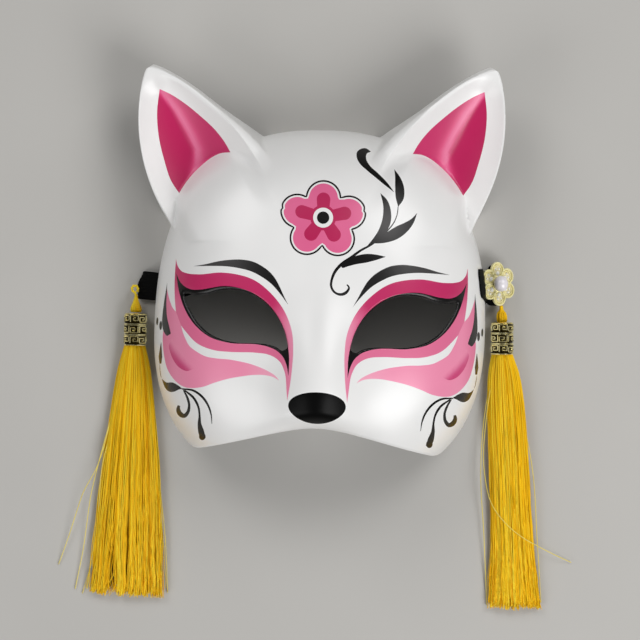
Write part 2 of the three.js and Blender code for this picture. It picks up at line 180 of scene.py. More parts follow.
# Paint, drawn in this order. Each outline is a run of curves that meet in sharp corners.
EYE_PINK = [
    [(73, 28.3), (72, 24.5), (70, 22), (67, 21), (62, 20.7), (50, 22), (44, 21.6), (34, 19),
     (25, 12.5), (17.5, 3), (13.5, -8), (12.9, -15), (13.3, -27), (14, -34), (15, -41)],
    [(15, -41), (15.5, -36), (17, -26), (19, -22), (22, -19.5), (26, -18), (31, -17.5), (45, -17.5),
     (52, -17), (61, -13.8), (67, -8), (69.3, -5.2)],
    [(69.3, -5.2), (72.2, 1.8)],
    [(72.2, 1.8), (72.7, 6), (73.2, 12), (73.3, 20), (73, 28.3)],
]
CHEEK_PINK = [
    [(19.3, -31), (22.5, -29.3), (27, -28.5), (32, -28.6), (38, -29.5), (45, -31), (52, -33.3),
     (57, -35.3), (62, -36.2), (66, -36), (70, -34), (73, -31), (75.5, -27), (77, -22), (78, -16),
     (78.3, -10), (77.6, -5), (77, 0), (77.3, 8), (77, 13)],
    [(77, 13), (76.8, 12), (76, 9), (75, 6), (73.8, 3.5), (72.3, 1.8)],
    [(72.3, 1.8), (68.6, 0), (69.3, -5.2)],
    [(69.3, -5.2), (68.5, -8), (67, -11.5), (65, -15), (61, -18), (57, -20), (51, -21), (45, -21.3),
     (40, -22), (34, -23.2), (29, -24.8), (25, -26.5), (21, -29), (19.3, -31)],
]
EYE_LINE = [
    [(72.7, 20.8), (71, 12), (68.2, 4), (63.2, -3.8), (55, -10.3), (45, -13), (31, -13.3),
     (25.5, -14.3), (21, -16.2), (18, -19), (16.2, -22.5), (14.8, -28.5)],
    [(14.8, -28.5), (14.7, -24), (14.8, -19), (15.5, -14), (18.2, -4.5), (24.7, 5.5), (30, 10),
     (35, 12.8), (40, 14.4), (45, 15.25), (50, 15.2), (55, 14.2), (60, 13.2), (65, 13.1),
     (68, 14.3), (70, 16), (72.7, 20.8)],
]
BROW = [
    [(64.3, 24.7), (58, 26), (52, 27.6), (46, 28.6), (40, 28.9), (34, 27.9), (30, 26), (26, 23.2),
     (23.5, 20.5), (20.5, 15.5), (18.3, 11), (16.1, 6.9)],
    [(16.1, 6.9), (17.3, 8.5), (20.5, 12.5), (25, 17.2), (30, 20.6), (35, 23), (42, 24.6),
     (48, 25.2), (56, 25.1), (64.3, 24.7)],
]
TEMPLE_STROKE = [
    [(77, 16), (78.4, 5), (78.8, 0), (78.8, -4.5), (77.9, -8.4), (76.2, -10.6), (74.3, -9.4)],
    [(74.3, -9.4), (74.9, -7), (76.3, -2), (77, 4), (77, 12), (77, 16)],
]

# Where the brush went over the cheek's pink once more: its soft upper edge, then its crisp lower one
CHEEK_BLOTCH = [
    [(61.8, -26.4), (64, -24.3), (67.5, -20.8), (71, -16.5), (73.6, -12)],
    [(73.6, -12), (75, -15), (74.2, -19), (72.3, -23), (69.5, -26.2), (65.8, -27.8), (61.8, -26.4)],
]
CHEEK_LEAF = [
    [(79.4, -24), (79.2, -28), (78, -32), (75.8, -33.8), (72.5, -33.8), (70, -35), (67.5, -36.7)],
    [(67.5, -36.7), (69.5, -37.3), (71.5, -38.3), (73.5, -38.6), (75.5, -37.5), (77, -35),
     (78.3, -31), (79.4, -24)],
]
EAR_PINK = [
    [(81.2, 114.7), (82.4, 103.5), (81.6, 92), (78.7, 79.5), (74.6, 68), (71, 62.8)],
    [(71, 62.8), (68.2, 67.3), (63.8, 72.9), (59.4, 77.2), (54.6, 80.9), (50.4, 82.9), (45.6, 83.4)],
    [(45.6, 83.4), (48.4, 88.3), (53.2, 94.4), (61, 101.6), (68, 107.2), (75.8, 112.2), (81.2, 114.7)],
]

# One side's paint in the order of painting
SIDE_PAINT = [
    ("ear_pink", EAR_PINK), ("cheek_pink", CHEEK_PINK), ("cheek_deep", CHEEK_BLOTCH),
    ("eye_pink", EYE_PINK), ("ink", EYE_LINE), ("brow", BROW), ("ink", TEMPLE_STROKE),
    ("ink", CHEEK_LEAF),
]

# Strokes: a middle line, and the half widths along it
CHEEK_STROKES = [
    ([(79, -14), (79.1, -19), (79, -24.6)], (0.1, 0.55, 0.9, 0.5)),
    ([(67.9, -36.8), (62, -37.5), (58, -40), (54.5, -44.5), (52.8, -49), (52.2, -53.8)],
     (0.35, 0.55, 0.6, 0.45, 0.12)),
    ([(66.5, -37.4), (61.5, -41.5), (59.3, -45.5), (58.5, -50), (58.4, -54), (57.4, -58), (56.4, -61.4)],
     (0.35, 0.55, 0.6, 0.5, 0.5, 0.9, 1.5, 1.4)),
    ([(67, -37.4), (65, -41), (63.9, -45), (64.5, -48.5), (66.2, -50.3), (68.3, -49.3), (69.3, -46.8),
      (69, -45.2)], (0.3, 0.5, 0.6, 0.6, 0.75, 0.95, 1.2, 1.15, 0.6)),
]
CHEEK_DOTS = [((81.3, -3.5), (0.5, 2.0)), ((79.5, -5.5), (0.7, 2.3)), ((56.8, -60.2), (1.65, 1.9))]
NOSE = Sizes(middle=(0.0, -44.1), half=(14.3, 7.9), point=0.12)

# Where the paint runs deep or pale, on the sheet: the eye's lid; and where light is painted in: a painted
# highlight down the ear's fold, and a painted reflection on the spray's leaves
EAR_FOLD = [(63.5, 70.0), (62.5, 78.0), (62.5, 85.0), (66.0, 92.5), (72.8, 104.0), (80.3, 113.0)]
FOLD_REACH = Sizes(outer=1.5, inner=3.4, low=2.6, low_from=(70.0, 84.0))
FOLD_TONE = Sizes(inner=0.78, low=0.1)
LID = [(72, 20), (62, 17), (50, 18), (42, 18), (33, 15), (26, 9)]
# The painted reflection on the spray's leaves: its middle, reach and strength, and the height above which it
# lies
LEAF_SHEEN = Sizes(middle=(31.0, 48.0), reach=9.0, tone=0.95, above=32.0)
CHEEK_TONE = Sizes(all=0.45, temple=0.35, temple_run=(70.0, 79.0), inner=0.4, inner_run=(-40.0, -20.0))
EYE_TONE = Sizes(all=0.35, lid=0.75, lid_reach=8.0, inner=0.3, inner_run=(-19.0, -13.5))
BLOTCH_RUN = (0.2, 4.0)
# Where the painted reflection greys the brows, from their inner end outwards
BROW_SHEEN_RUN = (24.0, 60.0)

# The forehead flower, as seen: round petals and the lobes of a darker star, each (x, y, radius) from
# the flower's middle, anticlockwise from the right
FLOWER = Sizes(
    middle=(-0.4, 51.2), line=0.9, gap=0.8, points=26,
    nick=0.75, nick_half=0.11, nick_turn=0.19, nicked_past=10.0,
)
PETALS = [(12.9, 2.9, 8.7), (0.0, 9.9, 8.9), (-12.9, 2.9, 8.7), (-7.7, -10.35, 8.72), (7.7, -10.35, 8.72)]
STAR_LOBES = [(10.7, 2.6, 3.3), (0.0, 9.2, 3.4), (-10.7, 2.6, 3.3), (-5.7, -8.3, 3.5), (5.7, -8.3, 3.5)]
FLOWER_STAR = Sizes(neck=2.6, hub=6.4, sweep=1.75, points=15)
FLOWER_EYE = Sizes(ring=5.0, dot=3.1)

# The spray beside the flower, as seen
SPRAY = [
    [[(35, 65), (31.2, 69.8), (26.4, 74.4), (21.9, 78.4), (20.2, 81.6), (20.5, 84), (22.5, 85)],
     [(22.5, 85), (20, 86.6), (17.5, 86.3), (15.5, 84.5), (15.5, 82), (17.2, 78.8), (20.6, 75.8),
      (25.5, 72), (29.8, 68.7), (35, 65)]],
    [[(34.5, 76.7), (38, 72), (39.8, 67), (39.6, 62), (37, 58)],
     [(37, 58), (35.8, 62), (35.2, 68), (35, 73), (34.5, 76.7)]],
    [[(28, 64.5), (31.5, 61), (33.5, 55), (33.3, 49.5), (30.5, 44), (26.5, 40), (21, 36.5)],
     [(21, 36.5), (24.5, 41), (27.5, 46), (29.3, 52), (29.5, 58), (28, 64.5)]],
    [[(46.5, 55.3), (44, 52.5), (40, 50), (36.5, 48.3), (33, 46), (25, 39.3)],
     [(25, 39.3), (28, 39.4), (33, 40.3), (38, 42.5), (42, 46), (45, 50.5), (46.5, 55.3)]],
    [[(31.7, 32.8), (27, 33.7), (22, 33.9), (17, 32.8), (13, 31), (9.6, 28.6)],
     [(9.6, 28.6), (10, 26.5), (13, 27.3), (17, 28.5), (22, 29.5), (27, 31), (31.7, 32.8)]],
]
SPRAY_STROKES = [
    ([(37, 58.5), (36.5, 54), (35, 50), (32.5, 46.5), (28.5, 42), (24, 38.5), (19, 35.5), (14, 31.5),
      (10, 28.5), (7, 25), (5.2, 20.5), (5, 17), (6.7, 14.2), (10, 13.1), (12.9, 14.5), (13.9, 16.8),
      (12.8, 18.2)], (0.2, 0.25, 0.3, 0.35, 0.4, 0.5, 0.6, 0.75, 0.8, 0.7, 0.6, 0.55, 0.8, 0.3)),
]

# The strap, folded out at both temples and bowed on the table under the mask
STRAP = Sizes(
    width=14.0, thick=1.2, y=16.0, table=0.25, layer_gap=0.35, fold_x=91.5,
    notch_x=81.0, bow=16.0, bow_power=1.5, wall_x=76.6, wall_lean=0.9,
    anchor_z=16.0, bend=2.2, ribs=9, rib=0.16, rib_steps=6,
    round_from=0.94, round_run=0.06, round=0.8,
    shift_run=(52.0, 76.0), slope_from=80.0, spread_run=(82.0, 86.0),
)
STRAP_POINTS = Sizes(wall=14, bend=8, flat=16, fold=13, table=70)
# Each folded end lies a little off the strap's own line, and its corners are drawn in. The right
# one is spread flat under the brooch, and its tail is glued up the shell's wall.
STRAP_ENDS = {
    -1.0: Sizes(shift=-2.3, slope=0.06, flare=0.0, lift=0.0, high_cut=2.6, low_cut=0.3),
    1.0: Sizes(shift=2.6, slope=0.0, flare=0.42, lift=1.5, high_cut=5.6, low_cut=3.4),
}
TAIL = Sizes(
    top=30.5, foot=1.4, low_y=(10.3, 13.5), low_power=1.5, high_y=(28.4, 27.0),
    droop=1.6, off=0.1, thick=0.5, rows=22, columns=16,
)

# The tassels' caps, and one turn of their key fret with the section of its bar
CAP = Sizes(
    radius=5.7, core=5.1, length=15.5, bands=3, rim=0.62, bore=5.0, mouth=3.0,
    dome=0.4, columns=7, sides=48, hollow=0.05,
)
CAP_RIMS = Sizes(
    chamfer=0.1, ease=0.08, fall=0.12, fine_in=0.15, groove=0.1,
    fine_down=(0.5, 0.42, 0.1, 0.02), shoulder=(0.35, 0.12), dome_in=0.9,
)
CAP_AXIS_Z = 5.75
FRET = Sizes(
    key=[(0.0, 0.2), (0.0, 3.3), (3.8, 3.3), (3.8, 1.0), (1.5, 1.0), (1.5, 2.2), (2.7, 2.2)],
    bar=[(-0.3, -0.3), (0.3, -0.3), (0.3, 0.35), (0.17, 0.55), (-0.17, 0.55), (-0.3, 0.35)],
    middle=(1.9, 1.75), row=0.55,
)

# The tassels' silk
SKIRT = Sizes(
    thin=0.6, high=4.3, hem_high=2.4, held=(4.5, 4.2), inside=2.2, below=0.4,
    clear=0.35, points=48, seed=20, next_seed=10,
)
SKIRT_THREADS = {
    "Points": 26, "Uneven Ends": 0.055, "Waviness": 1.8 * MM, "Hem Waviness": 2.4 * MM,
    "Locks": 0.022, "Sway": 0.3,
}
KNOT_THREADS = {"Threads": 220, "Points": 14}
KNOT_SEED = 5
LOOP_CORD = {"Plies": 2, "Ply Radius": 0.36 * MM, "Lay": 2.8 * MM}
LOOP_STEP = 0.4
TASSELS = {
    "left": Sizes(
        x=-91.4, cap_y=-0.3, turn=0.01, neck=(-91.6, 9.7), foot=(-91.3, 0.7),
        hem=(-91.7, -143.8), sweep=1.0, parting=-0.38, parting_width=0.22,
    ),
    "right": Sizes(
        x=90.3, cap_y=1.6, turn=0.03, neck=(89.6, 10.2), foot=(90.3, 2.0),
        hem=(102.3, -143.6), sweep=0.8, parting=0.45, parting_width=0.03,
    ),
}
# Half widths of each skirt, as shares of the way from the cap's mouth to the hem
SPREADS = {
    "left": [(0, 5.2), (0.03, 6.4), (0.08, 8.0), (0.166, 9.8), (0.28, 11.6), (0.4, 13.4), (0.51, 14.7),
             (0.76, 16.7), (0.95, 18.2), (1, 18.4)],
    "right": [(0, 5.2), (0.03, 6.5), (0.07, 7.8), (0.14, 8.9), (0.3, 9.7), (0.46, 10.0), (0.73, 10.7),
              (0.88, 12.0), (1, 12.9)],
}
# Half widths of each knot from the neck down
KNOTS = {
    "left": [(1.0, 0.45), (0.8, 0.75), (0.61, 1.25), (0.45, 1.8), (0.3, 2.35), (0.17, 2.65), (0.06, 2.5),
             (0.0, 2.2)],
    "right": [(1.0, 0.8), (0.74, 0.85), (0.68, 1.4), (0.57, 2.1), (0.42, 2.5), (0.25, 2.57), (0.1, 2.4),
              (0.0, 2.1)],
}
LOOPS = {
    "left": [(-91.6, 9.0, 5.6), (-92.2, 10.3, 5.6), (-93.4, 11.3, 5.5), (-93.8, 12.4, 5.3),
             (-93.3, 13.5, 5.1), (-92.3, 13.9, 4.9), (-91.3, 13.3, 4.7), (-91.0, 12.2, 4.4),
             (-91.2, 10.9, 4.2)],
    "right": [(89.6, 9.6, 5.5), (89.5, 11.0, 5.3), (89.4, 13.0, 4.6), (89.3, 15.6, 3.7),
              (89.1, 18.0, 2.9)],
}
STRAYS = {
    "left": [
        [(-94.0, -19.1, 5.0), (-100.5, -45, 4.0), (-108.7, -78.2, 5.2), (-114.7, -90.0, 4.2),
         (-117.6, -99.2, 3.2), (-121.8, -113.4, 2.0), (-126.2, -126.5, 0.7)],
        [(-93.7, -20.1, 5.0), (-101.0, -48, 4.2), (-108.1, -78.2, 5.2), (-110.9, -91.9, 4.0),
         (-112.3, -103.6, 3.0), (-113.8, -116.7, 1.8), (-117.5, -138.5, 0.7)],
        [(-93.5, -20.1, 4.6), (-99.5, -48, 3.8), (-105.7, -78.2, 5.0), (-106.8, -98, 3.8),
         (-108.3, -118.5, 2.1), (-113.8, -140.6, 0.7)],
        [(-88.0, -19.9, 4.6), (-80.5, -60, 3.6), (-75.8, -92, 3.0), (-73.6, -108.1, 2.8),
         (-71.3, -138.8, 0.7)],
    ],
    "right": [
        [(87.5, -17.7, 5.4), (83.9, -46.4, 6.8), (83.5, -71.1, 9.6), (88.3, -88.7, 9.6),
         (96.1, -98.1, 9.2), (104.1, -104.1, 8.2), (111.1, -107.9, 6.4), (119.5, -112.1, 3.6),
         (129.5, -116.6, 1.0)],
        [(87.1, -17.7, 4.8), (83.2, -46, 4.2), (82.4, -71.7, 4.8), (85.4, -105.2, 2.7),
         (88.2, -139.5, 0.8)],
        [(93.0, -17.5, 4.8), (102.5, -46, 4.2), (108.2, -70.8, 3.8), (111.8, -104.3, 2.7),
         (115.2, -137.2, 0.8)],
    ],
}
STRAY = Sizes(radius=0.22, sides=5, step=2.0)
THREAD_WIDTH = 0.37

# How the threads of a bundle lie. Places across it are shares of its half width, and lengths along
# it are shares of its own.
BUNDLE = Sizes(
    crowding=0.28, end_scale=7.0, own_end=0.6, drift=0.1, lock_turns=30.0,
    layers=3.0, lock_step=1.6, lock_scale=2.6, parting_soft=0.0004, parting_reach=0.4,
    parting_from=0.74, wave_step=3.2, wave_flat=(1.0, 0.0, 0.25), crimp_step=16.0,
    crimp_power=4.0, shuffle=90.0,
)
# The cord's silk is set near the light end of the silk's colours: a painted sheen
CORD = Sizes(step=0.3, sides=10, tone=0.9)

# Each surface's own texture: how far apart its soft patches and its fine bumps lie, and the bumps'
# height
LACQUER = Sizes(patch=16.0, peel=1.7, peel_high=0.012)
CASTING = Sizes(patch=1.6, peel=0.45, peel_high=0.03)
NACRE = Sizes(patch=2.6, peel=1.2, peel_high=0.004)
FIBRE = Sizes(patch=3.0, peel=0.5, peel_high=0.02)
WEAVE = Sizes(patch=5.0, peel=0.75, peel_high=0.16)
PAPER = Sizes(patch=60.0, peel=0.8, peel_high=0.01)

# How far a finish's roughness strays to either side
SHINE_SPREAD = 0.04

# The brooch: each petal is a plate with two rims and three stones, (x, y, radius, top, bulge, sides)
BROOCH = Sizes(
    at=(87.1, 20.9, 7.6), tilt=0.25, turn=math.radians(6.3), narrow=0.81,
    petals=6, ring=6.8,
)
PETAL_PLATE = Sizes(radius=3.9, top=0.9)
PETAL_RIMS = [(3.62, 0.46, 0.1, 2.0), (2.45, 0.24, 0.5, 1.45)]
STONE_FOOT = 0.8
STONES = [(-1.7, 0.0, 1.25, 1.35, 0.7, 8), (0.5, 1.0, 0.6, 1.2, 0.4, 6), (0.5, -1.0, 0.6, 1.2, 0.4, 6)]
SEAT = Sizes(radius=4.6, top=1.3, sides=32, rim=(3.7, 0.3, 1.2, 2.1), narrow=0.9)
PEARL = Sizes(radius=3.5, sink=0.9, lift=2.1, stretch=1.12, rows=18, sides=40)

# The floor's half width in metres
FLOOR_HALF = 3.0


def smooth(v, low, high):
    """0 below low, 1 above high, and a soft step between."""
    t = np.clip((v - low) / (high - low), 0.0, 1.0)
    return t * t * (3.0 - 2.0 * t)


def between(pair, share):
    """The value that lies share of the way from the first of a pair to the second."""
    return pair[0] + (pair[1] - pair[0]) * share


def unit(vectors):
    """Rows of vectors, each at length 1."""
    return vectors / np.linalg.norm(vectors, axis=-1, keepdims=True)


def lengths(line):
    """How far along a line each of its points lies."""
    return np.concatenate([[0.0], np.cumsum(np.linalg.norm(np.diff(line, axis=0), axis=1))])


def soft_max(a, b, k):
    """The higher of two heights, with the corner between them filled over k."""
    h = np.clip(k - np.abs(a - b), 0.0, None) / k
    return np.maximum(a, b) + h * h * k / 4.0


def lip_y(x):
    """The lip's arch, with its corners rounded."""
    corner = np.clip(np.abs(x) - LIP.start, 0.0, LIP.to - LIP.start)
    arch = np.hypot(x, LIP.soft) - LIP.soft
    return LIP.y - LIP.slope * arch + LIP.lift * corner**2


def muzzle(x, y):
    """The muzzle's height over the face: a rounded ridge, gone again at the lip."""
    grown = 1.0 - smooth(y, MUZZLE.to_y, MUZZLE.from_y)
    half = between(MUZZLE.half, grown)
    rolled_off = np.clip(1.0 - (y - lip_y(x)) / MUZZLE.run, 0.0, 1.0) ** MUZZLE.power
    return MUZZLE.rise * grown * (1.0 - rolled_off) * np.exp(-((x / half) ** 2))


def girth(x, y, inset=0.0):
    """0 in the face's middle and 1 at its rim."""
    reach = np.where(y > WIDEST_Y, UPPER_REACH, LOWER_REACH) - inset
    wide = (np.abs(x) / (HALF_WIDTH - inset)) ** PLAN_POWER
    tall = (np.abs(y - WIDEST_Y) / reach) ** PLAN_POWER
    return (wide + tall) ** (1.0 / PLAN_POWER)


def face_height(x, y, inset):
    """The crown with its muzzle. Past the face's rim it falls away steeply."""
    around = girth(x, y, inset)
    across = np.abs(ear_axes(x, y)[1])
    under_ear = (y > EAR_ZONE.above) * (1.0 - smooth(across, *SWELL.half))
    under_ear = under_ear * smooth(around, *SWELL.start)
    around = around * (1.0 - SWELL.share * under_ear)
    inside = np.clip(1.0 - around**CROWN_POWER, 0.0, None)
    crown = (FACE_DEPTH - inset) * inside ** (1.0 / CROWN_ROOT)
    return crown + muzzle(x, y) * (around < 1.0) - RIM_FALL * np.clip(around - 1.0, 0.0, None)


def ear_axes(x, y):
    """How far along and across the nearer ear a point is. Across grows outwards."""
    dx = np.abs(x) - EAR.base[0]
    dy = y - EAR.base[1]
    sine, cosine = math.sin(EAR.turn), math.cos(EAR.turn)
    along = dx * sine + dy * cosine
    return along, dx * cosine - dy * sine - ear_bow(along)


def ear_bow(along):
    """How far the ear's middle line bows outwards."""
    share = np.clip(along / EAR.length, 0.0, 1.0)
    return EAR.bow * 4.0 * share * (1.0 - share) + EAR.shift * share**2


def ear_half(share):
    """Half the ear's width: a pointed leaf that is cut short and rounded at its tip."""
    left = EAR.length * (1.0 - share)
    leaf_share = share * EAR.length / (EAR.length + EAR.tip)
    leaf = EAR.half * (1.0 - leaf_share ** EAR.taper) ** EAR.root
    return leaf * np.sqrt(left / (left + EAR.tip_round))


def rounded_drop(out, radius, steep):
    """How far a crest has fallen: round at first, then a plain slope that passes 0 at out = 0."""
    turned = steep / np.sqrt(1.0 + steep**2)
    fallen = 1.0 - 1.0 / np.sqrt(1.0 + steep**2)
    at = np.clip(out + radius * (turned - fallen / steep), 0.0, None)
    bend = radius * (1.0 - np.sqrt(1.0 - np.clip(at / radius, 0.0, turned) ** 2))
    return bend + steep * np.clip(at - radius * turned, 0.0, None)


def ear_height(x, y, inset):
    """The ear's top: a cup between two rounded crests, and a wall down from each."""
    along, across = ear_axes(x, y)
    share = np.clip(along / EAR.length, 0.0, 1.0)
    foot = smooth(-across, *EAR.foot_inside) * (1.0 - smooth(share, *EAR.foot_run))
    wide = np.abs(across) - EAR.foot_wide * foot
    half = np.maximum(ear_half(share), EAR.least_half)
    s = np.clip(across / half, -1.0, 1.0)
    edge = between(EAR.crest, share) - EAR.tilt * (1.0 - share) * s + EAR.foot_high * foot
    hollow = EAR.cup * (half / EAR.half) * (1.0 - smooth(share, *EAR.cup_end))
    cup = edge - hollow * (1.0 - np.abs(s) ** EAR.cup_power)
    before, after = np.full_like(along, EAR.sought_from), np.full_like(along, EAR.length)
    for _ in range(EAR_HALVINGS):
        middle = (before + after) / 2.0
        part = np.clip(middle / EAR.length, 0.0, 1.0)
        past = middle + (wide - ear_half(part)) * part ** EAR.tip_power > along
        after, before = np.where(past, middle, after), np.where(past, before, middle)
    part = np.clip(after / EAR.length, 0.0, 1.0)
    out = wide - ear_half(part) + inset
    out = np.where(along > EAR.length + wide, along - EAR.length + inset, out)
    outer = smooth(across, *EAR.ridge)
    inner_round = between(EAR.inner_round, share ** EAR.round_power)
    radius = between((inner_round, EAR.outer_round), outer)
    ear = cup - rounded_drop(out, radius, between(EAR.slope, outer)) - inset * EAR.slant
    reached = ((along > EAR.starts) & (along < EAR.length + EAR_ZONE.past_tip)
               & (wide < EAR.half + EAR_ZONE.past_side))
    return np.where(reached, ear, NO_EAR)


def by_an_ear(x, y):
    """Which points are where an ear may be."""
    return (y > EAR_ZONE.above) & (np.abs(x) > EAR_ZONE.beside)


def ears_alone(x, y, inset):
    """The ears' height, worked out only where one may be."""
    ear = np.full(x.shape, NO_EAR)
    near = by_an_ear(x, y)
    ear[near] = ear_height(x[near], y[near], inset)
    return ear


def skin_height(x, y, inset=0.0):
    """Height of the moulding over the table: the face and both ears, joined by fillets."""
    x, y = np.asarray(x, float), np.asarray(y, float)
    face, ear = face_height(x, y, inset), ears_alone(x, y, inset)
    fillet = between(EAR.fillet, smooth(-ear_axes(x, y)[1], *EAR.brow))
    both = (face > OFF_FACE) & (ear > OFF_FACE)
    return np.where(both, soft_max(face, ear, fillet), np.maximum(face, ear))


def rim_height(x, y):
    """How high the rim stands off the table."""
    ear = EAR.rim * smooth(ear_axes(x, y)[0], *EAR.rim_run)
    on_ear = by_an_ear(x, y) & (ears_alone(x, y, 0.0) > face_height(x, y, 0.0))
    cheek = np.clip(CHEEK_RIM.slope * (CHEEK_RIM.from_y - y), 0.0, None)
    opened = 0.0
    for sign, middle in ((1.0, NOTCH.from_y), (-1.0, NOTCH.to_y)):
        opened = opened + sign * smooth(y, middle - NOTCH.soft, middle + NOTCH.soft)
    return np.where(on_ear, ear, cheek + NOTCH.height * opened)


def leaned(points):
    """The ears lean a little to the mask's left, as the moulding has set."""
    x, y = points[:, 0], points[:, 1]
    turn = EAR_LEAN * smooth(y, *LEAN_FROM)
    return np.column_stack([x - turn * y, y + turn * x, points[:, 2:]])


def unleaned(points):
    """Points as seen, moved back to where they are before the lean."""
    points = np.asarray(points, float)
    x, y = points[:, 0].copy(), points[:, 1].copy()
    for _ in range(LEAN_ROUNDS):
        turn = EAR_LEAN * smooth(y, *LEAN_FROM)
        x, y = points[:, 0] + turn * y, points[:, 1] - turn * x
    return np.column_stack([x, y])


def to_plan(sheet, inset=0.0):
    """Where the lines of sight to points on the sheet meet the moulding, seen from above."""
    sheet = np.asarray(sheet, float)
    plan = sheet * SIGHT_START
    for _ in range(SIGHT_ROUNDS):
        height = np.clip(skin_height(plan[:, 0], plan[:, 1], inset), 0.0, None)
        seen = (1.0 - SIGHT_KEPT) * sheet * (1.0 - height / SIGHT_HEIGHT)[:, None]
        plan = SIGHT_KEPT * plan + seen
    return plan


def frame_shift():
    """The mask's midline and table point in the CAD frame, from the strap that crosses it."""
    low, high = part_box("elastic_strap")
    strap_low_y = STRAP.y - STRAP.width / 2.0
    return np.array([(low.x + high.x) / 2.0, low.y - strap_low_y * MM, 0.0])


def placed(points):
    """Points of the mask in millimetres, as metres in the CAD frame."""
    return np.asarray(points, float) * MM + frame_shift()


def flow(points, step=0.8):
    """A smooth open curve through points, as closely spaced points. Extra columns flow too."""
    points = np.asarray(points, float)
    chord = np.linalg.norm(np.diff(points[:, :2], axis=0), axis=1)
    at = np.concatenate([[0.0], np.cumsum(chord)])
    if len(points) == 2:
        tangent = np.tile((points[1] - points[0]) / chord[0], (2, 1))
    else:
        tangent = np.gradient(points, at, axis=0, edge_order=1)
    result = []
    for i in range(len(points) - 1):
        count = max(1, int(round(chord[i] / step)))
        t = (np.arange(count) / count)[:, None]
        h = chord[i]
        result.append((2 * t**3 - 3 * t**2 + 1) * points[i] + (t**3 - 2 * t**2 + t) * h * tangent[i]
                      + (-2 * t**3 + 3 * t**2) * points[i + 1] + (t**3 - t**2) * h * tangent[i + 1])
    return np.vstack(result + [points[-1:]])


def flow_round(points, step=0.8):
    """A smooth closed curve through points."""
    points = np.asarray(points, float)
    dense = flow(np.vstack([points[-3:], points, points[:4]]), step)
    half = len(dense) // 2
    from_start = np.linalg.norm(dense[:, :2] - points[0, :2], axis=1)
    first, last = np.argmin(from_start[:half + 1]), half + np.argmin(from_start[half:])
    return dense[first:last]


def outline(curves, step=0.8):
    """A closed outline from runs of points that meet in sharp corners."""
    return np.vstack([flow(curve, step)[:-1] for curve in curves])


def ellipse(middle, half, step=0.6, point=0.0):
    """An ellipse, narrowed towards its lower end by point."""
    count = max(12, int(2.0 * math.pi * max(half) / step))
    a = np.arange(count) * 2.0 * math.pi / count
    narrow = 1.0 + point * np.sin(a)
    return np.column_stack([middle[0] + half[0] * np.cos(a) * narrow, middle[1] + half[1] * np.sin(a)])


def stroke(points, widths, step=0.7):
    """The outline of a brush stroke along points, whose half width runs through widths."""
    line = flow(points, step)
    run = unit(np.gradient(line, axis=0))
    side = np.column_stack([-run[:, 1], run[:, 0]])
    at = lengths(line)
    half = np.interp(at / at[-1], np.linspace(0.0, 1.0, len(widths)), widths)[:, None]
    return np.vstack([line + side * half, (line - side * half)[::-1]])


def mirrored(points):
    """An outline on the other side of the mask, running the same way round."""
    return (np.asarray(points, float) * (-1.0, 1.0))[::-1]


def anticlockwise(points):
    """A loop, turned round if it runs clockwise."""
    x, y = points[:, 0], points[:, 1]
    area = np.sum(x * np.roll(y, -1) - np.roll(x, -1) * y)
    return points if area > 0 else points[::-1]


def inside_of(points, loop):
    """Which points a closed loop winds round, however it crosses itself."""
    low, high = loop.min(axis=0), loop.max(axis=0)
    result = np.zeros(len(points), bool)
    near = np.flatnonzero(((points > low) & (points < high)).all(axis=1))
    x, y = points[near, 0][:, None], points[near, 1][:, None]
    ax, ay = loop[:, 0][None, :], loop[:, 1][None, :]
    bx, by = np.roll(loop[:, 0], -1)[None, :], np.roll(loop[:, 1], -1)[None, :]
    left = (bx - ax) * (y - ay) - (x - ax) * (by - ay)
    up = (ay <= y) & (by > y) & (left > 0)
    down = (ay > y) & (by <= y) & (left < 0)
    result[near] = (up.sum(axis=1) - down.sum(axis=1)) != 0
    return result


def petals(inset):
    """The outline round the flower's petals, drawn in by inset. The side petals are nicked."""
    result = []
    for i, (x, y, radius) in enumerate(PETALS):
        here, ends = np.array([x, y]), []
        for x_next, y_next, radius_next in (PETALS[i - 1], PETALS[(i + 1) % len(PETALS)]):
            run = np.array([x_next, y_next]) - here
            apart = np.linalg.norm(run)
            at = (apart**2 + radius**2 - radius_next**2) / (2.0 * apart)
            ends.append((math.atan2(run[1], run[0]), math.acos(at / radius)))
        start = ends[0][0] + ends[0][1]
        stop = ends[1][0] - ends[1][1]
        stop += 2.0 * math.pi * (stop < start)
        middle = math.pi * (x < 0.0) + FLOWER.nick_turn * np.sign(x)
        nicked = FLOWER.nick * (abs(x) > FLOWER.nicked_past)
        for a in np.linspace(start, stop, FLOWER.points)[:-1]:
            off = (a - middle + math.pi) % (2.0 * math.pi) - math.pi
            nick = nicked * math.exp(-((off / FLOWER.nick_half) ** 2))
            result.append(here + (radius - inset - nick) * np.array([math.cos(a), math.sin(a)]))
        corner = here + radius * np.array([math.cos(stop), math.sin(stop)])
        result.append(corner * (1.0 - inset / np.linalg.norm(corner)))
    return np.array(FLOWER.middle) + np.array(result)


def star_lobe(x, y, radius):
    """One lobe of the flower's darker star, from the hub to a round end."""
    out = np.array([x, y]) / math.hypot(x, y)
    side = np.array([-out[1], out[0]])
    sweep = np.linspace(-FLOWER_STAR.sweep, FLOWER_STAR.sweep, FLOWER_STAR.points)
    round_end = [np.array([x, y]) + radius * (out * math.cos(t) + side * math.sin(t)) for t in sweep]
    foot = [side * FLOWER_STAR.neck, -side * FLOWER_STAR.neck]
    return np.array(FLOWER.middle) + np.array(round_end + foot)


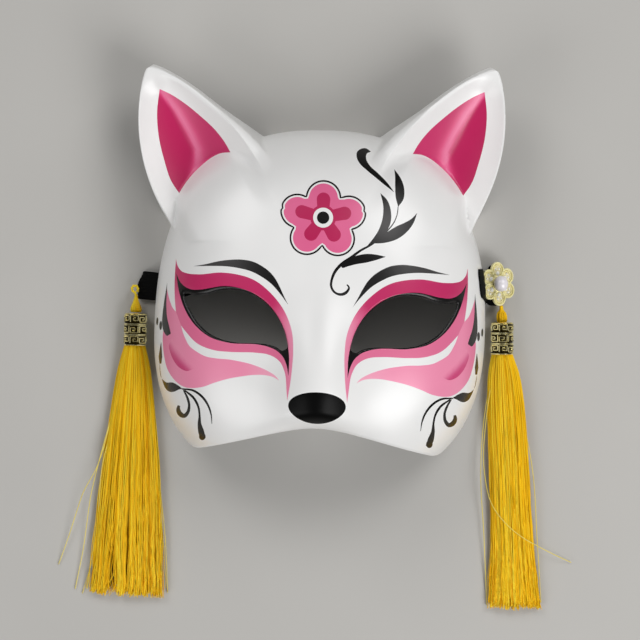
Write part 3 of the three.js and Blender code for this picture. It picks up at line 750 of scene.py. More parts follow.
def paint_outlines():
    """Every painted shape as (finish, outline on the unleaned sheet), in the order of painting."""
    half = [(finish, outline(curves)) for finish, curves in SIDE_PAINT]
    half += [("ink", stroke(points, widths)) for points, widths in CHEEK_STROKES]
    half += [("ink", ellipse(middle, size, step=0.5)) for middle, size in CHEEK_DOTS]
    shapes = half + [(finish, mirrored(points)) for finish, points in half]
    shapes.append(("nose", ellipse(NOSE.middle, NOSE.half, 0.7, NOSE.point)))
    petal = FLOWER.line + FLOWER.gap
    seen = [("ink", petals(0.0)), ("white", petals(FLOWER.line)), ("flower_pale", petals(petal))]
    seen += [("flower_deep", star_lobe(*lobe)) for lobe in STAR_LOBES]
    for finish, radius in (("flower_deep", FLOWER_STAR.hub), ("white", FLOWER_EYE.ring),
                           ("ink", FLOWER_EYE.dot)):
        seen.append((finish, ellipse(FLOWER.middle, (radius, radius))))
    seen += [("spray", stroke(points, widths, step=0.6)) for points, widths in SPRAY_STROKES]
    seen += [("spray", outline(leaf)) for leaf in SPRAY]
    return shapes + [(finish, unleaned(points)) for finish, points in seen]


def rolled(share, deep):
    """How far a round edge has sunk: deep at the very edge and nothing from share 1 on."""
    return deep * (1.0 - np.sqrt(1.0 - (1.0 - share) ** 2))


class Eye:
    """One eye's opening: its edge in plan, with the width of the rolled lip at each point."""

    def __init__(self, side, inset):
        edge = flow_round(EYE_EDGE, 1.0)
        plan, lip = to_plan(edge[:, :2] * (side, 1.0), inset), edge[:, 2]
        if side < 0:
            plan, lip = plan[::-1], lip[::-1]
        self.edge, self.lip = plan, lip
        run = unit(np.roll(plan, -1, axis=0) - np.roll(plan, 1, axis=0))
        out = np.column_stack([run[:, 1], -run[:, 0]])
        self.out = out if np.mean(np.sum(out * (plan - plan.mean(axis=0)), axis=1)) > 0 else -out

    def roll(self, x, y):
        """How far the skin has sunk at a point because of the eye's rolled edge."""
        sunk = np.zeros_like(x)
        low, high = self.edge.min(axis=0) - EYE_REACH, self.edge.max(axis=0) + EYE_REACH
        near = np.flatnonzero((x > low[0]) & (x < high[0]) & (y > low[1]) & (y < high[1]))
        for part in np.array_split(near, max(1, len(near) // BATCH)):
            points = np.column_stack([x[part], y[part]])
            gap = ((points[:, None, :] - self.edge[None, :, :]) ** 2).sum(axis=2)
            nearest = gap.argmin(axis=1)
            away = np.sum((points - self.edge[nearest]) * self.out[nearest], axis=1)
            share = np.clip(away / self.lip[nearest], LEAST_SHARE, 1.0)
            sunk[part] = np.where(gap.min(axis=1) < EYE_REACH**2, rolled(share, EYE_DROP), 0.0)
        return sunk


def lip_roll(x, y):
    """How far the skin has sunk at a point because of the lip's rolled edge."""
    return rolled(np.clip((y - lip_y(x)) * LIP_LEAN / LIP_ROLL, LEAST_SHARE, 1.0), LIP_ROLL)


def is_inside(points, level, inset):
    """Whether the moulding is at least as high as level at each point, and above the lip."""
    high = skin_height(points[..., 0].ravel(), points[..., 1].ravel(), inset)
    return (high.reshape(points.shape[:-1]) >= level) & (points[..., 1] >= lip_y(points[..., 0]))


def crossing(start, run, level, inset, steps):
    """The first point from start along run where the moulding is at least as high as level."""
    at = start[:, None, :] + run[:, None, :] * steps[None, :, None]
    first = np.argmax(is_inside(at, np.reshape(level, (-1, 1)), inset), axis=1)
    low, high = steps[np.maximum(first - 1, 0)], steps[first]
    for _ in range(HALVINGS):
        middle = (low + high) / 2.0
        inside = is_inside(start + run * middle[:, None], level, inset)
        low, high = np.where(inside, low, middle), np.where(inside, middle, high)
    return start + run * high[:, None]


def evened(loop, spacing):
    """A closed loop's points, evenly spaced."""
    closed = np.vstack([loop, loop[:1]])
    along = lengths(closed)
    at = np.linspace(0.0, along[-1], int(along[-1] / spacing) + 1)[:-1]
    return np.column_stack([np.interp(at, along, closed[:, i]) for i in range(2)])


def evened_out(values, reach):
    """A closed row of values, averaged with their neighbours."""
    window = np.hanning(2 * reach + 3)[1:-1]
    wrapped = np.concatenate([values[-reach:], values, values[:reach]])
    return np.convolve(wrapped, window / window.sum(), mode="valid")


def outwards(loop, reach):
    """The outward direction at each point of a loop, evened over reach neighbours."""
    soft = np.column_stack([evened_out(loop[:, i], reach) for i in range(2)])
    run = unit(np.roll(soft, -1, axis=0) - np.roll(soft, 1, axis=0))
    return np.column_stack([run[:, 1], -run[:, 0]])


def footprint(spacing, inset):
    """The rim seen from above: its points, their outward directions and the rim's heights."""
    angles = np.linspace(-math.pi, math.pi, RAYS.count + 1)[:-1]
    run = -np.column_stack([np.cos(angles), np.sin(angles)])
    start = np.array(RAYS.middle) - run * RAYS.start
    reach = np.arange(0.0, RAYS.length, RAYS.step)
    at = start[:, None, :] + run[:, None, :] * reach[None, :, None]
    rim = rim_height(at[..., 0].ravel(), at[..., 1].ravel()).reshape(at.shape[:-1])
    first = np.argmax(is_inside(at, rim, inset), axis=1)
    loop = evened(at[np.arange(len(at)), first], RIM_POINTS)
    steps = np.arange(0.0, RIM_SEARCH.length, SEARCH_STEP)
    for next_spacing in (RIM_POINTS, spacing):
        out = outwards(loop, 4)
        rim = evened_out(rim_height(loop[:, 0], loop[:, 1]), 5)
        loop = crossing(loop + out * RIM_SEARCH.out, -out, rim, inset, steps)
        loop = evened(loop, next_spacing)
    return loop, outwards(loop, 2), evened_out(rim_height(loop[:, 0], loop[:, 1]), 3)


def free_points(top_edge, spacing, inset):
    """Points inside the top's edge: a triangle grid, and rings where the face steepens."""
    rows = []
    for i, y in enumerate(np.arange(*GRID.y, spacing * GRID.row)):
        x = np.arange(*GRID.x, spacing) + (spacing / 2.0 if i % 2 else 0.0)
        rows.append(np.column_stack([x, np.full_like(x, y)]))
    grid = np.vstack(rows)
    x, y = grid.T
    on_ear = ears_alone(x, y, inset) > face_height(x, y, inset) - GRID.ear_sink
    sets = [grid[(girth(x, y, inset) < GRID.rim) | on_ear]]
    a = np.arange(0.0, 2.0 * math.pi, spacing * RINGS.along / RINGS.radius)
    reach = np.where(np.sin(a) > 0, UPPER_REACH, LOWER_REACH) - inset
    bent = 2.0 / PLAN_POWER
    for height in np.arange(RINGS.low, RINGS.high, spacing * RINGS.apart):
        around = (1.0 - (height / (FACE_DEPTH - inset)) ** CROWN_ROOT) ** (1.0 / CROWN_POWER)
        x = (HALF_WIDTH - inset) * around * np.sign(np.cos(a)) * np.abs(np.cos(a)) ** bent
        y = WIDEST_Y + reach * around * np.sign(np.sin(a)) * np.abs(np.sin(a)) ** bent
        sets.append(np.column_stack([x, y]))
    points = np.vstack(sets)
    return points[inside_of(points, top_edge)]


def ear_rows(spacing):
    """Rows of points that follow both crests of each ear, closer together at the tip."""
    tip = EAR.length - EAR_ROW.tip
    along = np.concatenate([np.arange(EAR_ROW.start, tip, spacing * EAR_ROW.share),
                            np.arange(tip, EAR.length - EAR_ROW.tip_gap, EAR_ROW.tip_step)])
    half = ear_half(np.clip(along / EAR.length, 0.0, 1.0))
    sine, cosine = math.sin(EAR.turn), math.cos(EAR.turn)
    sets = []
    for way, outs in EAR_ROWS.items():
        for out in outs:
            across = way * (half + out) + ear_bow(along)
            kept = half + out > EAR_ROW.least
            x = (EAR.base[0] + along * sine + across * cosine)[kept]
            y = (EAR.base[1] + along * cosine - across * sine)[kept]
            sets.extend([np.column_stack([x, y]), np.column_stack([-x, y])])
    return np.vstack(sets)


def thinned(points, fixed, gap):
    """The points that are farther than gap from every fixed one and from each other."""
    tree = kdtree.KDTree(len(fixed))
    for i, p in enumerate(fixed):
        tree.insert((p[0], p[1], 0.0), i)
    tree.balance()
    kept = [p for p in points if tree.find((p[0], p[1], 0.0))[2] > gap]
    cell = gap * ROW_GAP.cell
    seen, result = set(), []
    for p in kept:
        key = (int(math.floor(p[0] / cell)), int(math.floor(p[1] / cell)))
        if not any((key[0] + i, key[1] + j) in seen for i in (-1, 0, 1) for j in (-1, 0, 1)):
            seen.add(key)
            result.append(p)
    return np.array(result)


class Skin:
    """One face of the shell, outer or inner: a triangulated top and steep rows down to the rim."""

    def __init__(self, inset, spacing, shapes=()):
        self.inset, self.outer = inset, inset == 0.0
        self.eyes = [Eye(1.0, inset), Eye(-1.0, inset)]
        self.base, self.out, self.rim = footprint(spacing * RIM_SHARE, inset)
        self.lip = self.base[:, 1] < lip_y(self.base[:, 0]) + LIP_NEAR
        level = np.maximum(TOP_EDGE.least, self.rim + (TOP_EDGE.rise - inset))
        self.top_edge = np.where(self.lip[:, None], self.base, self.edge(level))
        self.triangulate(spacing, shapes)
        self.walls()

    def edge(self, level):
        """Where the moulding rises through a height, inwards from each point of the rim."""
        steps = np.arange(0.0, WALL_SEARCH.length, SEARCH_STEP)
        return crossing(self.base + self.out * WALL_SEARCH.out, -self.out, level, self.inset, steps)

    def height(self, x, y):
        """The skin's height with its rolled edges, which only the outer skin has."""
        z = skin_height(x, y, self.inset)
        if self.outer:
            for eye in self.eyes:
                z = z - eye.roll(x, y)
            z = z - lip_roll(x, y)
        return z

    def edge_rows(self, spacing):
        """Rows of points along the rolled edges of the eyes and the lip."""
        rows = [eye.edge + eye.out * (eye.lip * share)[:, None] for eye in self.eyes for share in EYE_ROWS]
        x = np.arange(-LIP.to + 1.0, LIP.to - 1.0, spacing)
        return np.vstack(rows + [np.column_stack([x, lip_y(x) + out]) for out in LIP_ROWS])

    def triangulate(self, spacing, shapes):
        """The top's triangles, which keep to the outlines of the paint, and each one's finish."""
        loops = [self.top_edge] + [eye.edge for eye in self.eyes]
        painted = [anticlockwise(to_plan(points)) for _, points in shapes]
        fixed = np.vstack(loops + painted)
        rows = ear_rows(spacing)
        extra = thinned(rows[inside_of(rows, self.top_edge)], fixed, ROW_GAP.ear)
        if self.outer:
            extra = np.vstack([extra, thinned(self.edge_rows(spacing), fixed, ROW_GAP.edge)])
        free = free_points(self.top_edge, spacing, self.inset)
        grid = thinned(free, np.vstack([fixed, extra]), spacing * ROW_GAP.grid)
        coords, faces, edges = [], [], []
        for loop in loops:
            faces.append(list(range(len(coords), len(coords) + len(loop))))
            coords.extend(anticlockwise(loop))
        for loop in painted:
            ids = np.arange(len(loop)) + len(coords)
            edges.extend(zip(ids.tolist(), np.roll(ids, -1).tolist()))
            coords.extend(loop)
        coords = [Vector(tuple(c)) for c in [*coords, *grid, *extra]]
        result = geometry.delaunay_2d_cdt(coords, edges, faces, 0, MERGED, True)
        plan, _, triangles, from_input, _, over = result
        plan = np.array([tuple(v) for v in plan])
        self.faces = [list(t) for t, ids in zip(triangles, over) if 0 in ids and not {1, 2} & set(ids)]
        middles = plan[np.array(self.faces)].mean(axis=1)
        self.finish = np.full(len(self.faces), "white", dtype=object)
        for (name, _), loop in zip(shapes, painted):
            self.finish[inside_of(middles, loop)] = name
        where = {j: i for i, ids in enumerate(from_input) for j in ids}
        self.loops = [[where[j] for j in face] for face in faces]
        self.points = np.column_stack([plan, self.height(plan[:, 0], plan[:, 1])])

    def walls(self):
        """Rows from the top's edge down to the rim, which narrow to nothing along the lip."""
        count = OUTER_ROWS if self.outer else INNER_ROWS
        first, wall = np.array(self.loops[0]), np.flatnonzero(~self.lip)
        top, start = self.points[first], len(self.points)
        self.rows, rings, points = [first], [top], [self.points]
        for i in range(1, count):
            level = top[:, 2] + (self.rim - top[:, 2]) * (i / (count - 1))
            ring = np.column_stack([self.edge(level), level])
            ring[self.lip] = top[self.lip]
            index = first.copy()
            index[wall] = start + np.arange(len(wall))
            start += len(wall)
            points.append(ring[wall])
            self.rows.append(index)
            rings.append(ring)
        self.points = np.vstack(points)
        rings = np.array(rings)
        normal = np.cross(np.gradient(rings, axis=0), np.roll(rings, -1, axis=1) - np.roll(rings, 1, axis=1))
        self.wall_normals = normal / np.maximum(np.linalg.norm(normal, axis=2, keepdims=True), TINY)

    def top_normals(self):
        """One normal for each corner of each triangle of the top, taken just inside the triangle."""
        corners = self.points[np.array(self.faces)][:, :, :2]
        inwards = corners.mean(axis=1, keepdims=True) - corners
        length = np.linalg.norm(inwards, axis=2, keepdims=True)
        at = corners + inwards * np.minimum(1.0, NORMAL_INSIDE / np.maximum(length, TINY))
        x, y = at[:, :, 0].ravel(), at[:, :, 1].ravel()
        h = NORMAL_STEP
        slope_x = (self.height(x + h, y) - self.height(x - h, y)) / (2 * h)
        slope_y = (self.height(x, y + h) - self.height(x, y - h)) / (2 * h)
        return unit(np.column_stack([-slope_x, -slope_y, np.ones_like(x)])).reshape(-1, 3, 3)


class Shell:
    """The whole shell: the painted outer skin, the inner skin, and the rims between them."""

    def __init__(self, spacing, finishes):
        outer = Skin(0.0, spacing, paint_outlines())
        inner = Skin(WALL, spacing * INNER_COARSER)
        self.index_of = {name: i for i, name in enumerate(finishes)}
        self.points = np.vstack([outer.points, inner.points])
        self.faces, self.normals, self.finish = [], [], []
        base = len(outer.points)
        for face, normal, name in zip(outer.faces, outer.top_normals(), outer.finish):
            self.add(list(zip(face, normal)), name)
        for face, normal in zip(inner.faces, inner.top_normals()):
            self.add([(base + face[i], -normal[i]) for i in (0, 2, 1)], "inside")
        self.add_walls(outer, 0, "white", 1)
        self.add_walls(inner, base, "inside", -1)
        self.bridge(np.array(outer.rows[-1]), np.array(inner.rows[-1]) + base, "inside")
        for outer_eye, inner_eye in zip(outer.loops[1:], inner.loops[1:]):
            self.bridge(np.array(inner_eye) + base, np.array(outer_eye), "ink")

    def add(self, corners, name):
        """A face from (point, normal) corners. Repeated corners are left out."""
        kept = [c for i, c in enumerate(corners) if c[0] != corners[i - 1][0]]
        if len(kept) > 2:
            self.faces.append([c[0] for c in kept])
            self.normals.extend(c[1] for c in kept)
            self.finish.append(self.index_of[name])

    def add_walls(self, skin, start, name, way):
        """A skin's walls, looking out with way 1 and in with way -1."""
        count = len(skin.base)
        for i in range(len(skin.rows) - 1):
            for j in range(count):
                k = (j + 1) % count
                quad = [(i, j), (i + 1, j), (i + 1, k), (i, k)][::way]
                self.add([(start + skin.rows[a][b], skin.wall_normals[a, b] * way) for a, b in quad], name)

    def bridge(self, upper, lower, name):
        """A strip between two loops with different counts, both running the same way."""
        points = self.points
        nearest = np.argmin(np.linalg.norm(points[lower] - points[upper[0]], axis=1))
        lower = np.roll(lower, -int(nearest))
        i = j = 0
        while i < len(upper) or j < len(lower):
            p, q = upper[i % len(upper)], lower[j % len(lower)]
            next_p, next_q = upper[(i + 1) % len(upper)], lower[(j + 1) % len(lower)]
            step_up = np.linalg.norm(points[next_p] - points[q])
            step_low = np.linalg.norm(points[next_q] - points[p])
            if j >= len(lower) or (i < len(upper) and step_up <= step_low):
                tri, i = (p, q, next_p), i + 1
            else:
                tri, j = (p, q, next_q), j + 1
            if len(set(tri)) == 3:
                normal = np.cross(points[tri[1]] - points[tri[0]], points[tri[2]] - points[tri[0]])
                normal = normal / max(np.linalg.norm(normal), TINY)
                self.add([(c, normal) for c in tri], name)


def linear(code):
    """An sRGB hex colour as linear RGBA."""
    parts = [int(code[i:i + 2], 16) / 255.0 for i in (1, 3, 5)]
    return [c / 12.92 if c <= 0.04045 else ((c + 0.055) / 1.055) ** 2.4 for c in parts] + [1.0]


VECTOR_MATH, COMBINE, NOISE = "ShaderNodeVectorMath", "ShaderNodeCombineXYZ", "ShaderNodeTexNoise"


def node(tree, kind, *inputs, **settings):
    """Add a node, and link or set its inputs, in order or in one dict by name. A node stands for its
    first output. A kind in capitals is the operation of a Math node."""
    if kind.isupper():
        kind, settings = "ShaderNodeMath", {"operation": kind}
    made = tree.nodes.new(kind)
    for name, value in settings.items():
        setattr(made, name, value)
    named = inputs[0] if inputs and isinstance(inputs[0], dict) else dict(enumerate(inputs))
    for key, value in named.items():
        if isinstance(value, bpy.types.Node):
            value = value.outputs[0]
        if isinstance(value, bpy.types.NodeSocket):
            tree.links.new(value, made.inputs[key])
        else:
            made.inputs[key].default_value = value
    return made


def coated(name, colours, roughness, attribute=None, grain=LACQUER, **others):
    """A finish whose colour runs through colours, by a vertex attribute or else in soft patches.
    grain gives the patches' and the surface texture's sizes."""
    material = bpy.data.materials.new(name)
    material.use_nodes = True
    tree, shader = material.node_tree, material.node_tree.nodes["Principled BSDF"]
    place = node(tree, "ShaderNodeTexCoord").outputs["Object"]
    patches = node(tree, NOISE, {"Vector": place, "Scale": 1.0 / (grain.patch * MM), "Detail": 1.0})
    tone = patches
    if attribute:
        tone = node(tree, "ShaderNodeAttribute", attribute_name=attribute)
    ramp = node(tree, "ShaderNodeValToRGB", {"Fac": tone.outputs["Fac"]})
    stops = ramp.color_ramp.elements
    while len(stops) < len(colours):
        stops.new(0.5)
    for i, colour in enumerate(colours):
        stops[i].position = i / (len(colours) - 1)
        stops[i].color = linear(colour)
    shine = node(tree, "ShaderNodeMapRange", {
        "Value": patches, "To Min": roughness - SHINE_SPREAD, "To Max": roughness + SHINE_SPREAD})
    peel = node(tree, NOISE, {"Vector": place, "Scale": 1.0 / (grain.peel * MM), "Detail": 0.0})
    bump = node(tree, "ShaderNodeBump", {"Height": peel, "Strength": 0.5, "Distance": grain.peel_high * MM})
    for key, source in (("Base Color", ramp), ("Roughness", shine), ("Normal", bump)):
        tree.links.new(source.outputs[0], shader.inputs[key])
    for key, value in others.items():
        shader.inputs[key.replace("_", " ")].default_value = value
    return material


def shell_materials():
    """Every finish of the shell, by its name in the list of painted shapes."""
    return {
        # Gloss white lacquer, sprayed on the moulding: soft window highlights and faint orange peel
        "white": coated("white_lacquer", ("#efefee", "#f6f5f4"), 0.32, Coat_Weight=0.12,
                        Coat_Roughness=0.22),
        # Pink enamel round the eyes, deep over the lid and paler where the brush ran dry
        "eye_pink": coated("deep_pink_enamel", ("#f092b2", "#e0628e", "#c62f66"), 0.3, "eye_depth"),
        # Pink enamel on the cheeks, brushed over once more at the temples
        "cheek_pink": coated("pink_enamel", ("#fbb0c8", "#f48fb1", "#de5c8c"), 0.3, "cheek_depth"),
        # The same pink where the brush passed twice
        "cheek_deep": coated("twice_brushed_enamel", ("#f491b2", "#e4709a", "#d24079"), 0.3,
                             "blotch_depth"),
        # The ears' pink, lightened down the valley as a painted highlight, and deep on the outer half
        "ear_pink": coated("ear_enamel", ("#ec729d", "#de487e", "#c0235c"), 0.32, "ear_depth_and_highlight"),
        # Black enamel: near black with a clear shine
        "ink": coated("black_enamel", ("#0e0d0d", "#171616"), 0.26, Specular_IOR_Level=0.35),
        # Black enamel over the brows, greyer towards their outer ends as a painted reflection
        "brow": coated("brow_enamel_painted_sheen", ("#141313", "#454343"), 0.32, "ink_painted_sheen"),
        # The same black enamel on the spray's leaves, greyed round one spot as a painted reflection, with
        # less shine
        "spray": coated("leaf_enamel", ("#0c0b0b", "#484646"), 0.34, "ink_painted_sheen", Specular_IOR_Level=0.25),
        # The nose's thicker black lacquer, even and deep, with a soft window highlight
        "nose": coated("nose_lacquer", ("#080808", "#0c0c0c"), 0.34, Specular_IOR_Level=0.07),
        # The forehead flower's enamel: even and clear in the petals, and deeper in their heart
        "flower_pale": coated("petal_enamel", ("#e46493", "#ea6f9c"), 0.32),
        "flower_deep": coated("petal_heart_enamel", ("#b91a54", "#c0245b"), 0.32),
        # The inside, dark as painted shade so that the eye holes look into shadow, and dull
        "inside": coated("inside_dark_painted_shade", ("#131211", "#1c1a19"), 0.8, Specular_IOR_Level=0.2),
    }


def elastic_material():
    """Black woven elastic: dull, with soft creases and a faint bloom from the fibres."""
    return coated("woven_elastic", ("#040404", "#0a0a09"), 0.85, grain=WEAVE, Specular_IOR_Level=0.12)


def silk_material():
    """Bright yellow silk: each thread its own shade, with a soft shine along it."""
    return coated("yellow_silk", ("#f0b20c", "#ffd014", "#ffe642"), 0.42, "thread_tone", FIBRE,
                  Specular_IOR_Level=0.12)


def loose_silk_material():
    """Single silk threads, which look paler than the mass of them does."""
    return coated("loose_silk", ("#e8cf52", "#f4e47c"), 0.45, grain=FIBRE, Specular_IOR_Level=0.3)


def cap_materials():
    """The caps' cast brass, on the raised fret and in the hollows."""
    # Polished brass: bright, with sharp warm glints
    brass = coated("polished_brass", ("#ffeda0", "#fffbd2"), 0.27, grain=CASTING, Metallic=1.0)
    # The same brass, nearly black in the hollows, which sets the fret off
    dark = coated("dark_hollow_brass", ("#1c170a", "#3a3012"), 0.42, grain=CASTING, Metallic=1.0)
    return brass, dark


def brooch_materials():
    """The brooch's gold rims, petal plates, stones and pearl."""
    # Pale gold settings: smooth, light and softly mirror-like
    gold = coated("pale_gold", ("#fbf0a2", "#fffbd0"), 0.24, grain=CASTING, Metallic=0.06)
    # Gold between the settings, duller and greyer than the rims: painted shade in the grooves between them
    hollow = coated("plate_gold_painted_shade", ("#d6c68a", "#fbf5d6"), 0.38, grain=CASTING, Metallic=0.3)
    # Clear cut stones, coloured near white as a painted glint
    stone = coated("stone_white_painted_glint", ("#f4f4f0", "#ffffff"), 0.08, grain=NACRE, Coat_Weight=1.0,
                   Coat_Roughness=0.03)
    # A pearl of lavender white, with a soft bloom under its shine
    pearl = coated("pearl", ("#efe9f1", "#f8f4f6"), 0.22, grain=NACRE, Coat_Weight=0.5,
                   Coat_Roughness=0.15, Sheen_Weight=0.1)
    return gold, hollow, stone, pearl


def mesh_object(name, points, faces, materials, finish=None, normals=None, tones=None):
    """A plain mesh object at the origin, from points in metres."""
    mesh = bpy.data.meshes.new(name)
    mesh.from_pydata([tuple(p) for p in points], [], faces)
    for material in materials:
        mesh.materials.append(material)
    if finish is not None:
        mesh.polygons.foreach_set("material_index", np.asarray(finish, np.int32))
    mesh.polygons.foreach_set("use_smooth", np.ones(len(mesh.polygons), bool))
    for key, values in (tones or {}).items():
        layer = mesh.attributes.new(key, "FLOAT", "POINT")
        layer.data.foreach_set("value", np.asarray(values, np.float32))
    mesh.update()
    if normals is not None:
        mesh.normals_split_custom_set([tuple(n) for n in normals])
    made = bpy.data.objects.new(name, mesh)
    bpy.context.collection.objects.link(made)
    return made


def to_line(points, line):
    """The distance from each point to a bent line."""
    best = np.full(len(points), np.inf)
    for a, b in zip(np.asarray(line[:-1], float), np.asarray(line[1:], float)):
        run = b - a
        t = np.clip(((points - a) @ run) / (run @ run), 0.0, 1.0)
        best = np.minimum(best, np.linalg.norm(points - a - t[:, None] * run, axis=1))
    return best


def fold_tone(off, outer_reach, inner_tone):
    """0 on the ear's fold, lightened there as a painted highlight: deep past it at once on the outer side,
    and inner_tone on the inner.
    """
    return np.where(off > 0.0, 1.0 - np.exp(-((off / outer_reach) ** 2)), inner_tone)


def paint_tones(points):
    """How deep the paint is at each point: pink, and ear pink lightened along its fold as a painted
    highlight; and where the black is greyed as a painted reflection.
    """
    sheet = points[:, :2] / (1.0 - points[:, 2:3] / SIGHT_HEIGHT)
    sheet[:, 0] = np.abs(sheet[:, 0])
    x, y = sheet.T
    fold = np.array(EAR_FOLD)
    off = x - np.interp(y, fold[:, 1], fold[:, 0])
    inner = FOLD_TONE.inner * (1.0 - np.exp(-((off / FOLD_REACH.inner) ** 2)))
    high, upper = smooth(y, *FOLD_REACH.low_from), fold_tone(off, FOLD_REACH.outer, inner)
    near_sheen = ((x - LEAF_SHEEN.middle[0]) / LEAF_SHEEN.reach) ** 2
    near_sheen = near_sheen + ((y - LEAF_SHEEN.middle[1]) / LEAF_SHEEN.reach) ** 2
    tones = {
        "cheek_depth": (CHEEK_TONE.all + CHEEK_TONE.temple * smooth(x, *CHEEK_TONE.temple_run)
                        - CHEEK_TONE.inner * smooth(-x, *CHEEK_TONE.inner_run)),
        "blotch_depth": smooth(to_line(sheet, CHEEK_BLOTCH[0]), *BLOTCH_RUN),
        "eye_depth": (EYE_TONE.all + EYE_TONE.lid * np.exp(-((to_line(sheet, LID) / EYE_TONE.lid_reach) ** 2))
                      - EYE_TONE.inner * smooth(-x, *EYE_TONE.inner_run)),
        # The ear's pink, lightened along its fold as a painted highlight
        "ear_depth_and_highlight": upper * high + (1.0 - high) * fold_tone(off, FOLD_REACH.low, FOLD_TONE.low),
        # Black greyed as a painted reflection: round one spot of the spray, and towards the brows' outer ends
        "ink_painted_sheen": np.where(y > LEAF_SHEEN.above, LEAF_SHEEN.tone * np.exp(-near_sheen),
                             smooth(x, *BROW_SHEEN_RUN)),
    }
    return {name: np.clip(values, 0.0, 1.0) for name, values in tones.items()}


def finished(made, slot, *replaced):
    """Attach a finished piece to the body that it rides on, and hide the CAD nodes that it stands for. slot
    is not used.
    """
    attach(made, BODY)
    if replaced:
        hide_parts(*replaced)
    return made


def build_shell(settings):
    """The moulded shell with its painted skin."""
    materials = shell_materials()
    shell = Shell(settings.spacing / MM, list(materials))
    made = mesh_object("painted_shell", placed(leaned(shell.points)), shell.faces, materials.values(),
                       shell.finish, shell.normals, paint_tones(shell.points))
    finished(made, "shell", "mask_shell")


def new_tree(name, sockets):
    """An empty geometry node tree with the named inputs, what adds nodes to it, and those inputs."""
    tree = bpy.data.node_groups.new(name, "GeometryNodeTree")
    for way in ("INPUT", "OUTPUT"):
        tree.interface.new_socket("Geometry", in_out=way, socket_type="NodeSocketGeometry")
    for label, kind in sockets.items():
        tree.interface.new_socket(label, in_out="INPUT", socket_type="NodeSocket" + kind)
    return tree, partial(node, tree), tree.nodes.new("NodeGroupInput").outputs


def ended(tree, shape, material):
    """The tree, closed with real geometry in its material."""
    real = node(tree, "GeometryNodeRealizeInstances", shape)
    coloured = node(tree, "GeometryNodeSetMaterial", {"Geometry": real, "Material": material})
    node(tree, "NodeGroupOutput", coloured)
    return tree


def grown(name, base, tree, values):
    """The plain mesh that a node tree makes of a base mesh, for the given inputs."""
    carrier = bpy.data.objects.new(name + "_carrier", base)
    bpy.context.collection.objects.link(carrier)
    modifier = carrier.modifiers.new(name, "NODES")
    modifier.node_group = tree
    for item in tree.interface.items_tree:
        if item.in_out == "INPUT" and item.name in values:
            modifier[item.identifier] = values[item.name]
    bpy.context.view_layer.update()
    evaluated = carrier.evaluated_get(bpy.context.evaluated_depsgraph_get())
    mesh = bpy.data.meshes.new_from_object(evaluated)
    carrier.modifiers.clear()
    bpy.data.objects.remove(carrier)
    mesh.name = name
    made = bpy.data.objects.new(name, mesh)
    bpy.context.collection.objects.link(made)
    return made


def path_mesh(name, points, sizes=None):
    """A bare line of points in metres, with a vector size at each."""
    mesh = bpy.data.meshes.new(name)
    mesh.from_pydata([tuple(p) for p in points], [(i, i + 1) for i in range(len(points) - 1)], [])
    if sizes is not None:
        layer = mesh.attributes.new("size", "FLOAT_VECTOR", "POINT")
        layer.data.foreach_set("vector", np.asarray(sizes, np.float32).ravel())
    return mesh


